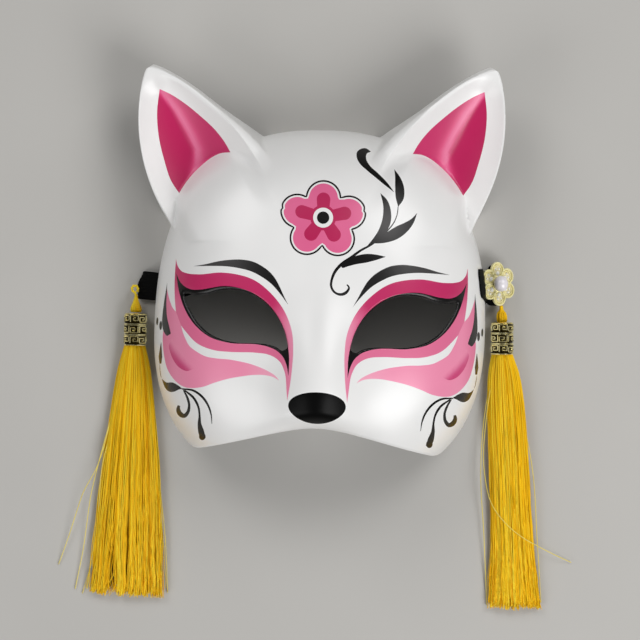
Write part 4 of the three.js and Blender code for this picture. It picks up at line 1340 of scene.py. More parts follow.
def bundle_tree(material):
    """A bundle of threads along a guide line, as wide and as high as the guide's sizes say."""
    tree, add, inputs = new_tree("thread_bundle", {
        "Threads": "Int", "Points": "Int", "Thread Width": "Float", "Seed": "Int",
        "Uneven Ends": "Float", "Waviness": "Float", "Hem Waviness": "Float", "Locks": "Float",
        "Sway": "Float", "Parting": "Float", "Parting Width": "Float"})
    guide = add("GeometryNodeMeshToCurve", inputs["Geometry"])
    line = add("GeometryNodeCurvePrimitiveLine")
    strand = add("GeometryNodeResampleCurve", {"Curve": line, "Count": inputs["Points"]})
    roots = add("GeometryNodeMeshLine", {"Count": inputs["Threads"], "Offset": (0.0, 0.0, 0.0)})
    many = add("GeometryNodeInstanceOnPoints", {"Points": roots, "Instance": strand})
    real = add("GeometryNodeRealizeInstances", many)
    along = add("GeometryNodeSplineParameter").outputs["Factor"]
    index = add("GeometryNodeInputIndex")
    thread = add("GeometryNodeFieldOnDomain", {"Value": index}, domain="CURVE", data_type="INT")

    def chance(offset, low, high):
        """A value that is each thread's own."""
        seed = add("ADD", inputs["Seed"], float(offset))
        values = {"ID": thread.outputs["Value"], "Seed": seed, 2: low, 3: high}
        return add("FunctionNodeRandomValue", values, data_type="FLOAT").outputs[1]

    depth = add("POWER", chance(2, 0.0, 1.0), BUNDLE.crowding)
    turn = chance(1, 0.0, 2.0 * math.pi)
    cosine = add("COSINE", turn)
    sine = add("SINE", turn)
    across = add("MULTIPLY", cosine, depth)
    high = add("MULTIPLY", sine, depth)

    # Neighbouring threads end at much the same place, and each a little before or after it
    beside = add("ADD", across, inputs["Seed"])
    ends = add(NOISE, {"W": beside, "Scale": BUNDLE.end_scale, "Detail": 2.0}, noise_dimensions="1D")
    uneven = add("ADD", ends, chance(3, 0.0, BUNDLE.own_end))
    short = add("MULTIPLY", uneven, inputs["Uneven Ends"])
    reach = add("SUBTRACT", 1.0, short)
    at = add("MULTIPLY", along, reach)
    size = add("GeometryNodeInputNamedAttribute", {"Name": "size"}, data_type="FLOAT_VECTOR")
    sample = add("GeometryNodeSampleCurve", {"Curves": guide, "Value": size, "Factor": at},
                 data_type="FLOAT_VECTOR", mode="FACTOR", use_all_curves=True)
    wide = add("ShaderNodeSeparateXYZ", sample.outputs["Value"])

    # Across the bundle: each thread keeps its place, but drifts and draws into locks
    drift = add("MULTIPLY", chance(4, -BUNDLE.drift, BUNDLE.drift), at)
    drifted = add("ADD", across, drift)
    phase = add("MULTIPLY", drifted, BUNDLE.lock_turns)
    swing = add("SINE", phase)
    locked = add("MULTIPLY", swing, inputs["Locks"])
    grown_lock = add("MULTIPLY", locked, at)
    gathered = add("ADD", drifted, grown_lock)

    # Locks sway past each other: neighbours move together, more so lower down
    along_lock = add("MULTIPLY", at, BUNDLE.lock_step)
    layer = add("FLOOR", chance(7, 0.0, BUNDLE.layers))
    deep_layer = add("ADD", layer, inputs["Seed"])
    spot = add(COMBINE, gathered, along_lock, deep_layer)
    lean = add(NOISE, {"Vector": spot, "Scale": BUNDLE.lock_scale, "Detail": 1.0})
    centred_lean = add("SUBTRACT", lean, 0.5)
    sway = add("MULTIPLY", centred_lean, inputs["Sway"])
    low_sway = add("MULTIPLY", sway, at)
    swayed = add("ADD", gathered, low_sway)

    # The hem parts at one place, where a gap opens over the lowest part
    beyond = add("SUBTRACT", swayed, inputs["Parting"])
    squared = add("MULTIPLY", beyond, beyond)
    softened = add("ADD", squared, BUNDLE.parting_soft)
    length = add("SQRT", softened)
    side = add("DIVIDE", beyond, length)
    fall = add("ShaderNodeMapRange", length, 0.0, BUNDLE.parting_reach, 1.0, 0.0)
    open_low = add("ShaderNodeMapRange", at, BUNDLE.parting_from, 1.0, 0.0, 1.0)
    opened = add("MULTIPLY", open_low, inputs["Parting Width"])
    eased = add("MULTIPLY", fall, opened)
    push = add("MULTIPLY", side, eased)
    place = add("ADD", swayed, push)
    x = add("MULTIPLY", place, wide.outputs["X"])
    z = add("MULTIPLY", high, wide.outputs["Y"])
    spread = add(COMBINE, {"X": x, "Z": z})

    # A slow wave that is each thread's own and grows from the mouth
    step = add("MULTIPLY", at, BUNDLE.wave_step)
    where = add(COMBINE, step, chance(5, 0.0, BUNDLE.shuffle))
    wave = add(NOISE, {"Vector": where, "Scale": 1.0, "Detail": 1.0})
    centred = add(VECTOR_MATH, wave.outputs["Color"], (0.5, 0.5, 0.5), operation="SUBTRACT")
    flat = add(VECTOR_MATH, centred, BUNDLE.wave_flat, operation="MULTIPLY")
    grows = add("MULTIPLY", inputs["Waviness"], at)
    waved = add(VECTOR_MATH, {0: flat, "Scale": grows}, operation="SCALE")
    moved = add(VECTOR_MATH, spread, waved)

    # A quicker wave at the hem, where the twist has come out of the threads
    quick = add("MULTIPLY", at, BUNDLE.crimp_step)
    where = add(COMBINE, quick, chance(8, 0.0, BUNDLE.shuffle))
    crimp = add(NOISE, {"Vector": where, "Scale": 1.0, "Detail": 0.0})
    around_crimp = add("SUBTRACT", crimp, 0.5)
    late = add("POWER", at, BUNDLE.crimp_power)
    crimped = add("MULTIPLY", around_crimp, late)
    sized_crimp = add("MULTIPLY", crimped, inputs["Hem Waviness"])
    moved = add(VECTOR_MATH, moved, add(COMBINE, sized_crimp))
    final = add(VECTOR_MATH, sample.outputs["Position"], moved)
    laid = add("GeometryNodeSetPosition", {"Geometry": real, "Position": final})
    toned = add("GeometryNodeStoreNamedAttribute", {
        "Geometry": laid, "Name": "thread_tone", "Value": chance(6, 0.0, 1.0)},
        data_type="FLOAT", domain="POINT")
    radius = add("MULTIPLY", inputs["Thread Width"], 0.5)
    ring = add("GeometryNodeCurvePrimitiveCircle", {"Resolution": 3, "Radius": radius})
    tubes = add("GeometryNodeCurveToMesh", {"Curve": toned, "Profile Curve": ring, "Fill Caps": True})
    return ended(tree, tubes, material)


def cord_tree(material):
    """A cord of twisted plies along a line."""
    tree, add, inputs = new_tree("twisted_cord", {"Plies": "Int", "Ply Radius": "Float", "Lay": "Float"})
    line = add("GeometryNodeMeshToCurve", inputs["Geometry"])
    dense = add("GeometryNodeResampleCurve", {"Curve": line, "Length": CORD.step * MM}, mode="LENGTH")
    plies = add("GeometryNodeDuplicateElements", {"Geometry": dense, "Amount": inputs["Plies"]},
                domain="SPLINE")
    length = add("GeometryNodeSplineParameter").outputs["Length"]
    turns = add("DIVIDE", length, inputs["Lay"])
    own = add("DIVIDE", plies.outputs["Duplicate Index"], inputs["Plies"])
    both = add("ADD", turns, own)
    angle = add("MULTIPLY", both, 2.0 * math.pi)
    normal, tangent = add("GeometryNodeInputNormal"), add("GeometryNodeInputTangent")
    side = add("ShaderNodeVectorRotate", {"Vector": normal, "Axis": tangent, "Angle": angle})
    offset = add(VECTOR_MATH, {0: side, "Scale": inputs["Ply Radius"]}, operation="SCALE")
    moved = add("GeometryNodeSetPosition", {"Geometry": plies, "Offset": offset})
    ring = add("GeometryNodeCurvePrimitiveCircle", {"Resolution": CORD.sides, "Radius": inputs["Ply Radius"]})
    tubes = add("GeometryNodeCurveToMesh", {"Curve": moved, "Profile Curve": ring, "Fill Caps": True})
    # The cord's silk is set near the light end of the silk's colours: a painted sheen
    toned = add("GeometryNodeStoreNamedAttribute", {
        "Geometry": tubes, "Name": "thread_tone", "Value": CORD.tone},
        data_type="FLOAT", domain="POINT")
    return ended(tree, toned, material)


def fret_tree(material):
    """A raised motif repeated in rows and columns, and bent round a cylinder along Y."""
    tree, add, inputs = new_tree("fret_bands", {
        "Columns": "Int", "Rows": "Int", "Row Height": "Float", "Radius": "Float"})
    around = add("MULTIPLY", inputs["Radius"], 2.0 * math.pi)
    pitch = add("DIVIDE", around, inputs["Columns"])
    across, up = add(COMBINE, pitch), add(COMBINE, {"Y": inputs["Row Height"]})
    row = add("GeometryNodeMeshLine", {"Count": inputs["Columns"], "Offset": across})
    column = add("GeometryNodeMeshLine", {"Count": inputs["Rows"], "Offset": up})
    rows = add("GeometryNodeInstanceOnPoints", {"Points": column, "Instance": row})
    spots = add("GeometryNodeRealizeInstances", rows)
    parity = add("MODULO", add("GeometryNodeInputIndex"), 2.0)
    flip = add("MULTIPLY", parity, math.pi)
    copies = add("GeometryNodeInstanceOnPoints", {
        "Points": spots, "Instance": inputs["Geometry"], "Rotation": add(COMBINE, {"Z": flip})})
    real = add("GeometryNodeRealizeInstances", copies)
    place = add("ShaderNodeSeparateXYZ", add("GeometryNodeInputPosition"))
    angle = add("DIVIDE", place, inputs["Radius"])
    out = add("ADD", place.outputs["Z"], inputs["Radius"])
    sine = add("SINE", angle)
    cosine = add("COSINE", angle)
    x = add("MULTIPLY", sine, out)
    z = add("MULTIPLY", cosine, out)
    bent = add(COMBINE, x, place.outputs["Y"], z)
    moved = add("GeometryNodeSetPosition", {"Geometry": real, "Position": bent})
    return ended(tree, moved, material)


def ring_tree(material):
    """A motif repeated round an upright axis, then narrowed along X."""
    tree, add, inputs = new_tree("petal_ring", {"Copies": "Int", "Ring Radius": "Float", "Narrow": "Float"})
    circle = add("GeometryNodeMeshCircle", {"Vertices": inputs["Copies"], "Radius": inputs["Ring Radius"]})
    index = add("GeometryNodeInputIndex")
    share = add("DIVIDE", index, inputs["Copies"])
    angle = add("MULTIPLY", share, 2.0 * math.pi)
    copies = add("GeometryNodeInstanceOnPoints", {
        "Points": circle, "Instance": inputs["Geometry"], "Rotation": add(COMBINE, {"Z": angle})})
    real = add("GeometryNodeRealizeInstances", copies)
    quarter = add("ShaderNodeVectorRotate", {
        "Vector": add("GeometryNodeInputPosition"), "Axis": (0.0, 0.0, 1.0), "Angle": math.pi / 2.0})
    scale = add(COMBINE, inputs["Narrow"], 1.0, 1.0)
    narrowed = add(VECTOR_MATH, quarter, scale, operation="MULTIPLY")
    moved = add("GeometryNodeSetPosition", {"Geometry": real, "Position": narrowed})
    return ended(tree, moved, material)


def ring_faces(rings, count, closed=False):
    """The quads between rings of points that follow each other, count points to each ring."""
    faces = []
    for i in range(rings if closed else rings - 1):
        j = (i + 1) % rings
        for k in range(count):
            n = (k + 1) % count
            faces.append((i * count + k, i * count + n, j * count + n, j * count + k))
    return faces


def end_faces(rings, count):
    """The faces that close the first and the last of such rings."""
    last = (rings - 1) * count
    return [tuple(range(count))[::-1], tuple(range(last, last + count))]


def lathe(profile, count):
    """A turned body about the Y axis from (radius, y) pairs that start and end on the axis."""
    points, on_axis = [], {}
    for i, (radius, y) in enumerate(profile):
        for k in range(count):
            a = 2.0 * math.pi * k / count
            points.append((radius * math.sin(a), y, radius * math.cos(a)))
            if radius == 0.0:
                on_axis[i * count + k] = i * count
    quads = ring_faces(len(profile), count)
    return packed(np.array(points), [list(dict.fromkeys(on_axis.get(c, c) for c in quad)) for quad in quads])


def packed(points, faces):
    """The same faces, without the points that none of them uses."""
    used = sorted({i for face in faces for i in face})
    renumbered = {old: new for new, old in enumerate(used)}
    return points[used], [[renumbered[i] for i in face] for face in faces]


def swept(line, section, closed=False):
    """A closed bar: a section of (across, upright) pairs carried along a line."""
    line, section = np.asarray(line, float), np.asarray(section, float)
    if closed:
        run = unit(np.roll(line, -1, axis=0) - np.roll(line, 1, axis=0))
    else:
        run = unit(np.gradient(line, axis=0))
    side = unit(np.cross(run, (0.0, 0.0, 1.0)))
    rise = np.cross(side, run)
    points = np.vstack([p + np.outer(section[:, 0], s) + np.outer(section[:, 1], r)
                        for p, s, r in zip(line, side, rise)])
    faces = ring_faces(len(line), len(section), closed)
    return points, faces if closed else faces + end_faces(len(line), len(section))


def joined_meshes(parts):
    """Several (points, faces) as one."""
    points, faces, start = [], [], 0
    for part_points, part_faces in parts:
        points.append(np.asarray(part_points, float))
        faces.extend([start + i for i in face] for face in part_faces)
        start += len(part_points)
    return np.vstack(points), faces


def outward(mesh):
    """Turn every closed part of a mesh so that its faces look out."""
    work = bmesh.new()
    work.from_mesh(mesh)
    bmesh.ops.recalc_face_normals(work, faces=work.faces)
    work.to_mesh(mesh)
    work.free()


def moved_by(part, x, y):
    """The same part, moved in its own plane."""
    points, faces = part
    return np.asarray(points, float) + (x, y, 0.0), faces


def solid(name, part, *materials):
    """A mesh object from (points, faces) in the mask's millimetres, with its faces turned out."""
    points, faces = part
    made = mesh_object(name, placed(points), faces, materials)
    outward(made.data)
    return made


def motif_mesh(name, part):
    """A mesh that a node tree repeats, from (points, faces) in millimetres."""
    points, faces = part
    mesh = bpy.data.meshes.new(name)
    mesh.from_pydata([tuple(p) for p in points * MM], [], faces)
    outward(mesh)
    return mesh


def relaid(made, lay):
    """Move what a node tree has made to where lay puts its points, in millimetres."""
    flat = np.array([v.co[:] for v in made.data.vertices]) / MM
    made.data.vertices.foreach_set("co", placed(lay(flat)).astype(np.float32).ravel())
    made.data.update()


def moved_to_cap(points, tassel):
    """From the cap's own place, axis on Y and top at 0, to where it lies."""
    sine, cosine = math.sin(tassel.turn), math.cos(tassel.turn)
    x, y, z = np.asarray(points, float).T
    return np.column_stack([tassel.x + x * cosine - y * sine,
                            tassel.cap_y + x * sine + y * cosine, z + CAP_AXIS_Z])


def strap_tail():
    """The strap's tail, laid up the shell's outer wall on the right."""
    rows, columns = TAIL.rows, TAIL.columns
    grid = np.zeros((rows, columns, 3))
    for i, t in enumerate(np.linspace(0.0, 1.0, rows)):
        low, high = between(TAIL.low_y, t ** TAIL.low_power), between(TAIL.high_y, t)
        for j, s in enumerate(np.linspace(0.0, 1.0, columns)):
            z = between((TAIL.foot, TAIL.top), t) - TAIL.droop * t * (2.0 * s - 1.0) ** 4
            y = between((low, high), s)
            around = (1.0 - (z / FACE_DEPTH) ** CROWN_ROOT) ** (1.0 / CROWN_POWER)
            tall = ((y - WIDEST_Y) / UPPER_REACH) ** PLAN_POWER
            grid[i, j] = (HALF_WIDTH * (around**PLAN_POWER - tall) ** (1.0 / PLAN_POWER), y, z)
    out = unit(np.cross(np.gradient(grid, axis=1), np.gradient(grid, axis=0)))
    edge = np.ones((rows, columns, 1))
    edge[[0, -1]], edge[:, [0, -1]] = 0.5, 0.5
    sides = [grid + out * TAIL.off, grid + out * (TAIL.off + TAIL.thick * edge)]
    points = np.vstack([side.reshape(-1, 3) for side in sides])
    count = rows * columns
    index = np.arange(count).reshape(rows, columns)
    faces = []
    for i in range(rows - 1):
        for j in range(columns - 1):
            quad = [index[i, j], index[i, j + 1], index[i + 1, j + 1], index[i + 1, j]]
            faces += [quad, [count + k for k in quad[::-1]]]
    border = [*index[0], *index[1:, -1], *index[-1, -2::-1], *index[-2:0:-1, 0]]
    for a, b in zip(border, border[1:] + border[:1]):
        faces.append([b, a, count + a, count + b])
    return points, faces


def strap_course():
    """The strap's course seen along the table, as (x, z) pairs from the right anchor to the left one,
    and how many of them come before the stretch under the mask."""
    low = STRAP.table + STRAP.thick / 2.0
    high = low + STRAP.thick + STRAP.layer_gap
    turn = (high - low) / 2.0
    turn_x = STRAP.fold_x - STRAP.thick / 2.0 - turn
    wall_x, anchor_z, bend = STRAP.wall_x, STRAP.anchor_z, STRAP.bend
    course = [(wall_x - STRAP.wall_lean * (1.0 - t), anchor_z + (high + bend - anchor_z) * t)
              for t in np.linspace(0.0, 1.0, STRAP_POINTS.wall)]
    course += [(wall_x + bend * (1.0 - math.cos(a)), high + bend * (1.0 - math.sin(a)))
               for a in np.linspace(0.0, math.pi / 2.0, STRAP_POINTS.bend)[1:]]
    course += [(x, high) for x in np.linspace(course[-1][0], turn_x, STRAP_POINTS.flat)[1:]]
    course += [(turn_x + turn * math.cos(a), low + turn + turn * math.sin(a))
               for a in np.linspace(math.pi / 2.0, -math.pi / 2.0, STRAP_POINTS.fold)[1:]]
    inner = len(course) - 1
    course += [(x, low) for x in np.linspace(turn_x, 0.0, STRAP_POINTS.table)[1:]]
    half = np.array(course)
    return np.vstack([half, (half[:-1] * (-1.0, 1.0))[::-1]]), inner


def strap_path():
    """The strap's middle line: straight to the folds, and bowed on the table between them."""
    line, inner = strap_course()
    bowed = np.clip(1.0 - (line[:, 0] / STRAP.notch_x) ** 2, 0.0, 1.0) ** STRAP.bow_power
    rank = np.arange(len(line))
    under = (rank > inner) & (rank < len(line) - 1 - inner)
    y = np.where(under, STRAP.y + STRAP.bow * bowed, STRAP.y)
    for side, end in STRAP_ENDS.items():
        far = side * line[:, 0]
        past = np.maximum(far, STRAP.shift_run[1]) - STRAP.slope_from
        y = y + smooth(far, *STRAP.shift_run) * (end.shift + end.slope * past)
    return np.column_stack([line[:, 0], y, line[:, 1]])


def strap_section():
    """The strap's section: ribbed on both faces and rounded at the edges."""
    thick, steps = STRAP.thick / 2.0, STRAP.ribs * STRAP.rib_steps
    section = []
    for face in (1.0, -1.0):
        for i in range(steps + 1):
            u = -1.0 + 2.0 * i / steps
            rib = STRAP.rib * (abs(math.sin(math.pi * STRAP.ribs * (u + 1.0) / 2.0)) - 1.0)
            past = max(0.0, (abs(u) - STRAP.round_from) / STRAP.round_run)
            round_off = thick * (1.0 - math.sqrt(max(0.0, 1.0 - past**2))) * STRAP.round
            section.append((u * face * (STRAP.width / 2.0), face * (thick + rib - round_off)))
    return np.array(section)


def build_strap():
    """The woven strap: ribbed along its length, folded at both temples."""
    path, section = strap_path(), strap_section()
    run = unit(np.gradient(path, axis=0))
    across = unit(np.column_stack([-run[:, 1] * np.sign(run[:, 0] + TINY),
                                   np.abs(run[:, 0]) + np.abs(run[:, 2]), np.zeros(len(run))]))
    share, spread_from = section[:, 0] / (STRAP.width / 2.0), STRAP.spread_run[0]
    rings = []
    for p, a, u in zip(path, across, np.cross(run, across)):
        side, far = (1.0 if p[0] > 0.0 else -1.0), abs(p[0])
        end, out = STRAP_ENDS[side], float(smooth(far, *STRAP.spread_run))
        ring = p + np.outer(section[:, 0] * (1.0 + end.flare * out), a) + np.outer(section[:, 1], u)
        corner = end.high_cut * smooth(share, 0.0, 1.0) + end.low_cut * smooth(-share, 0.0, 1.0)
        ring[:, 0] -= side * corner * max(0.0, far - spread_from) / (STRAP.fold_x - spread_from)
        ring[:, 1] += end.lift * out
        rings.append(ring)
    faces = ring_faces(len(rings), len(section)) + end_faces(len(rings), len(section))
    woven = joined_meshes([(np.vstack(rings), faces), strap_tail()])
    finished(solid("woven_strap", woven, elastic_material()), "elastic", "elastic_strap")


def cap_profile(band):
    """The cap's outline as (radius, y) pairs, from the mouth's floor over its bands to the dome."""
    low, wide = -CAP.length, CAP.radius
    floor, full = low + CAP.mouth, CAP.rim - CAP_RIMS.fall
    profile = [(0.0, floor), (CAP.bore, floor), (CAP.bore, low), (wide - CAP_RIMS.chamfer, low)]
    fine = wide - CAP_RIMS.fine_in
    for i in range(CAP.bands):
        y = low + i * band
        profile += [(wide, y + CAP_RIMS.ease), (wide, y + full), (CAP.core, y + CAP.rim)]
        radii = (CAP.core, fine, fine, CAP.core + CAP_RIMS.groove)
        profile += [(radius, y + band - down) for radius, down in zip(radii, CAP_RIMS.fine_down)]
    shoulder, rise = CAP_RIMS.shoulder
    return profile + [(wide - shoulder, rise), (wide - CAP_RIMS.dome_in, CAP.dome), (0.0, CAP.dome)]


def build_caps():
    """Both caps: a turned brass body and its raised fret."""
    brass, dark = cap_materials()
    band = CAP.length / CAP.bands
    points, faces = lathe(cap_profile(band), CAP.sides)
    out = [math.hypot(x, z) for x, _, z in points]
    low = [all(out[i] < CAP.core + CAP.hollow for i in face) for face in faces]
    bars = [swept([(*a, 0.0), (*b, 0.0)], FRET.bar) for a, b in zip(FRET.key, FRET.key[1:])]
    across, up = FRET.middle
    motif = motif_mesh("fret_motif", moved_by(joined_meshes(bars), -across, -up))
    tree, first_row = fret_tree(brass), FRET.row * band - CAP.length
    for side, tassel in TASSELS.items():
        frets = grown(side + "_cap_fret", motif, tree, {
            "Columns": CAP.columns, "Rows": CAP.bands, "Row Height": band * MM,
            "Radius": CAP.core * MM})
        relaid(frets, lambda flat: moved_to_cap(flat + (0.0, first_row, 0.0), tassel))
        finished(frets, "cap")
        cap = solid(side + "_cap_body", (moved_to_cap(points, tassel), faces), brass, dark)
        cap.data.polygons.foreach_set("material_index", np.array(low, np.int32))
        cap.data.polygons.foreach_set("use_smooth", np.zeros(len(faces), bool))
        finished(cap, "cap", side + "_tassel_cap")


def skirt_guide(tassel, spread):
    """The skirt's middle line from inside the cap to the hem, with its half width and height."""
    cap_end, (hem_x, hem_y) = tassel.cap_y - CAP.length, tassel.hem
    start_x, mouth_y = tassel.x + tassel.turn * CAP.length, cap_end - SKIRT.below
    line, sizes = [(start_x, cap_end + SKIRT.inside, CAP_AXIS_Z)], [(*SKIRT.held, 0.0)]
    drop = mouth_y - hem_y
    spread = flow([(t * drop, half) for t, half in spread], 1.0)
    for t in np.linspace(0.0, 1.0, SKIRT.points):
        high = between((SKIRT.high, SKIRT.hem_high), t ** SKIRT.thin)
        z = max(high + SKIRT.clear, CAP_AXIS_Z * (1.0 - 2.0 * t))
        x = between((start_x, hem_x), t ** tassel.sweep)
        line.append((x, between((mouth_y, hem_y), t), z))
        sizes.append((np.interp(t * drop, spread[:, 0], spread[:, 1]), high, 0.0))
    return np.array(line), np.array(sizes)


def build_tassels(settings):
    """Both skirts of silk threads, their wrapped knots, loops and stray threads."""
    silk, loose_silk = silk_material(), loose_silk_material()
    bundle, cord = bundle_tree(silk), cord_tree(silk)
    turns = np.arange(STRAY.sides) * 2.0 * math.pi / STRAY.sides
    ring = [(STRAY.radius * math.cos(a), STRAY.radius * math.sin(a)) for a in turns]
    for i, (side, tassel) in enumerate(TASSELS.items()):
        line, sizes = skirt_guide(tassel, SPREADS[side])
        guide = path_mesh(side + "_skirt_guide", placed(line), sizes * MM)
        skirt = grown(side + "_silk_skirt", guide, bundle, SKIRT_THREADS | {
            "Threads": settings.threads, "Thread Width": settings.thread_width,
            "Seed": SKIRT.seed + SKIRT.next_seed * i, "Parting": tassel.parting,
            "Parting Width": tassel.parting_width})
        finished(skirt, "silk", side + "_tassel_skirt")
        neck, foot, knot = np.array(tassel.neck), np.array(tassel.foot), KNOTS[side]
        at = [(*(foot + (neck - foot) * t), CAP_AXIS_Z) for t, _ in knot]
        guide = path_mesh(side + "_knot_guide", placed(at), [(r * MM, r * MM, 0.0) for _, r in knot])
        tied = grown(side + "_silk_knot", guide, bundle, KNOT_THREADS | {
            "Thread Width": settings.thread_width, "Seed": KNOT_SEED + i})
        finished(tied, "silk", side + "_tassel_cord")
        path = path_mesh(side + "_loop_path", placed(flow(LOOPS[side], LOOP_STEP)))
        finished(grown(side + "_twisted_loop", path, cord, LOOP_CORD), "silk")
        strays = joined_meshes([swept(flow(stray, STRAY.step), ring) for stray in STRAYS[side]])
        finished(solid(side + "_stray_threads", strays, loose_silk), "silk")


def on_brooch(points):
    """From the brooch's own place to where it lies."""
    sine, cosine = math.sin(BROOCH.tilt), math.cos(BROOCH.tilt)
    turned_sine, turned_cosine = math.sin(BROOCH.turn), math.cos(BROOCH.turn)
    x, y, z = np.asarray(points, float).T
    x, y = x * turned_cosine - y * turned_sine, x * turned_sine + y * turned_cosine
    return np.column_stack([x * cosine + z * sine, y, -x * sine + z * cosine]) + np.array(BROOCH.at)


def disc(radius, low, high, count=28, bulge=0.0):
    """A round plate with a domed top, from low to high."""
    rows = [(0.0, low), (radius, low), (radius, high)]
    for t in (0.75, 0.5, 0.25):
        rows.append((radius * t, high + bulge * (1.0 - t * t)))
    rows.append((0.0, high + bulge))
    points, faces = lathe([(r, -z) for r, z in rows], count)
    return np.column_stack([points[:, 0], points[:, 2], -points[:, 1]]), faces


def hoop(radius, thick, low, high, count=36):
    """A round rim, standing from low to high."""
    a = np.arange(count) * 2.0 * math.pi / count
    line = np.column_stack([radius * np.cos(a), radius * np.sin(a), np.full(count, (low + high) / 2.0)])
    tall = (high - low) / 2.0
    section = [(-thick, -tall), (thick, -tall), (thick, tall * 0.5), (thick * 0.4, tall),
               (-thick * 0.4, tall), (-thick, tall * 0.5)]
    return swept(line, section, closed=True)


def pearl_bead():
    """The pearl, a little taller than it is wide and sunk into its seat."""
    radius, sink = PEARL.radius, PEARL.sink
    low = math.asin((radius - sink) / radius)
    turns = np.linspace(-low, math.pi / 2.0, PEARL.rows)[:-1]
    round_side = [(radius * math.cos(a), radius * math.sin(a)) for a in turns]
    points, faces = lathe([(0.0, sink - radius), *round_side, (0.0, radius)], PEARL.sides)
    points = np.column_stack([points[:, 0], -points[:, 2], points[:, 1]]) * (1.0, PEARL.stretch, 1.0)
    return on_brooch(points + (0.0, 0.0, PEARL.lift + radius - sink)), faces


def build_brooch():
    """Six set petals round a pearl."""
    gold, hollow, stone, pearl = brooch_materials()
    stones = [moved_by(disc(radius, STONE_FOOT, top, sides, bulge), x, y)
              for x, y, radius, top, bulge, sides in STONES]
    for key, material, parts, replaced in (
            ("brooch_petals", hollow, [disc(PETAL_PLATE.radius, 0.0, PETAL_PLATE.top)],
             ["brooch_flower"]),
            ("brooch_rims", gold, [hoop(*rim) for rim in PETAL_RIMS], []),
            ("brooch_stones", stone, stones, [])):
        motif = motif_mesh(key + "_motif", joined_meshes(parts))
        made = grown(key, motif, ring_tree(material), {
            "Copies": BROOCH.petals, "Ring Radius": BROOCH.ring * MM, "Narrow": BROOCH.narrow})
        relaid(made, on_brooch)
        finished(made, "brooch", *replaced)
    seat = disc(SEAT.radius, 0.0, SEAT.top, SEAT.sides)
    points, faces = joined_meshes([seat, hoop(*SEAT.rim)])
    points = on_brooch(points * (SEAT.narrow, 1.0, 1.0))
    finished(solid("brooch_seat", (points, faces), gold), "brooch")
    finished(solid("pearl_bead", pearl_bead(), pearl), "pearl", "brooch_pearl")


def area_light(name, where, aim, size, power):
    """A soft square light."""
    data = bpy.data.lights.new(name, "AREA")
    data.shape = "RECTANGLE"
    data.size = data.size_y = size
    data.energy = power
    made = bpy.data.objects.new(name, data)
    made.location = where
    made.rotation_euler = (Vector(aim) - Vector(where)).to_track_quat("-Z", "Y").to_euler()
    bpy.context.collection.objects.link(made)


def build_camera(settings, shift):
    """The camera straight above the table, turned as the photo was taken."""
    data = bpy.data.cameras.new("camera")
    data.lens = CAMERA_LENS
    data.sensor_width = SENSOR_WIDTH
    data.clip_start = CLIP_START
    camera = bpy.data.objects.new("camera", data)
    camera.location = (shift[0], shift[1], settings.height)
    camera.rotation_euler = (0.0, 0.0, CAMERA_TURN)
    bpy.context.collection.objects.link(camera)
    bpy.context.scene.camera = camera


def build_stage(settings):
    """The pale floor, the lights and the camera."""
    shift = frame_shift()
    # Matt pale paper, without shine or grain, so that only the part draws the eye
    paper = coated("paper", ("#bdbbb7", "#c1bfbb"), 0.9, grain=PAPER, Specular_IOR_Level=0.0)
    corners = [(x * FLOOR_HALF, y * FLOOR_HALF, 0.0) for x, y in ((-1, -1), (1, -1), (1, 1), (-1, 1))]
    floor = mesh_object("floor", corners, [[0, 1, 2, 3]], [paper])
    build_camera(settings, shift)
    aim = np.array([shift[0], shift[1], 0.0])
    for name, around, up, share, size in LIGHTS:
        around, up = math.radians(around), math.radians(up)
        way = np.array([math.cos(up) * math.cos(around), math.cos(up) * math.sin(around), math.sin(up)])
        area_light(name, aim + way * LIGHT_REACH, aim, size, settings.power * share)
    world = bpy.data.worlds.new("studio_air")
    world.use_nodes = True
    world.node_tree.nodes["Background"].inputs["Color"].default_value = linear(AIR)
    bpy.context.scene.world = world
    bpy.context.scene.view_settings.view_transform = "Standard"


class CatMaskSettings(bpy.types.PropertyGroup):
    spacing: bpy.props.FloatProperty(
        name="Skin spacing", description="Distance between the points of the moulded skin",
        default=1.35 * MM, unit="LENGTH")
    threads: bpy.props.IntProperty(
        name="Threads", description="How many threads hang in each tassel",
        default=1150, min=50, max=1250)
    thread_width: bpy.props.FloatProperty(
        name="Thread width", description="Width of a silk thread",
        default=THREAD_WIDTH * MM, unit="LENGTH")
    height: bpy.props.FloatProperty(
        name="Camera height", description="Height of the camera over the table",
        default=SIGHT_HEIGHT * MM, unit="LENGTH")
    power: bpy.props.FloatProperty(
        name="Key light", description="Power of the brightest softbox",
        default=5.6, unit="POWER")


class CATMASK_OT_shell(bpy.types.Operator):
    """Build the moulded shell with its painted skin"""
    bl_idname = "catmask.shell"
    bl_label = "Build shell"

    def execute(self, context):
        build_shell(context.scene.cat_mask)
        return {"FINISHED"}


class CATMASK_OT_strap(bpy.types.Operator):
    """Build the woven elastic strap"""
    bl_idname = "catmask.strap"
    bl_label = "Build strap"

    def execute(self, context):
        build_strap()
        return {"FINISHED"}


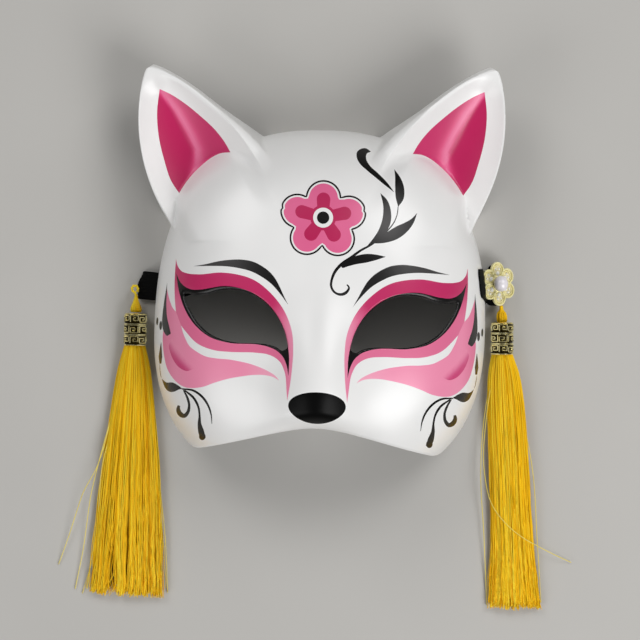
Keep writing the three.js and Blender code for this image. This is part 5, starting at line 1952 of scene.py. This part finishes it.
class CATMASK_OT_caps(bpy.types.Operator):
    """Build the tassels' brass caps"""
    bl_idname = "catmask.caps"
    bl_label = "Build tassel caps"

    def execute(self, context):
        build_caps()
        return {"FINISHED"}


class CATMASK_OT_tassels(bpy.types.Operator):
    """Build the silk skirts, knots, loops and stray threads"""
    bl_idname = "catmask.tassels"
    bl_label = "Build tassels"

    def execute(self, context):
        build_tassels(context.scene.cat_mask)
        return {"FINISHED"}


class CATMASK_OT_brooch(bpy.types.Operator):
    """Build the flower brooch with its pearl"""
    bl_idname = "catmask.brooch"
    bl_label = "Build brooch"

    def execute(self, context):
        build_brooch()
        return {"FINISHED"}


class CATMASK_OT_stage(bpy.types.Operator):
    """Lay the floor and set the lights and the camera"""
    bl_idname = "catmask.stage"
    bl_label = "Set stage"

    def execute(self, context):
        build_stage(context.scene.cat_mask)
        return {"FINISHED"}


class CATMASK_PT_sidebar(bpy.types.Panel):
    bl_idname = "CATMASK_PT_sidebar"
    bl_label = "Cat Mask"
    bl_space_type = "VIEW_3D"
    bl_region_type = "UI"
    bl_category = "Cat Mask"

    def draw(self, context):
        settings = context.scene.cat_mask
        for name in ("spacing", "threads", "thread_width", "height", "power"):
            self.layout.prop(settings, name)
        for operator in OPERATORS:
            self.layout.operator(operator.bl_idname)


OPERATORS = (CATMASK_OT_shell, CATMASK_OT_strap, CATMASK_OT_caps, CATMASK_OT_tassels,
             CATMASK_OT_brooch, CATMASK_OT_stage)
CLASSES = (CatMaskSettings, *OPERATORS, CATMASK_PT_sidebar)


def register():
    for cls in CLASSES:
        bpy.utils.register_class(cls)
    bpy.types.Scene.cat_mask = bpy.props.PointerProperty(type=CatMaskSettings)


def unregister():
    del bpy.types.Scene.cat_mask
    for cls in reversed(CLASSES):
        bpy.utils.unregister_class(cls)


def main():
    register()
    bpy.ops.catmask.shell()
    bpy.ops.catmask.strap()
    bpy.ops.catmask.caps()
    bpy.ops.catmask.tassels()
    bpy.ops.catmask.brooch()
    bpy.ops.catmask.stage()


if __name__ == "__main__":
    main()
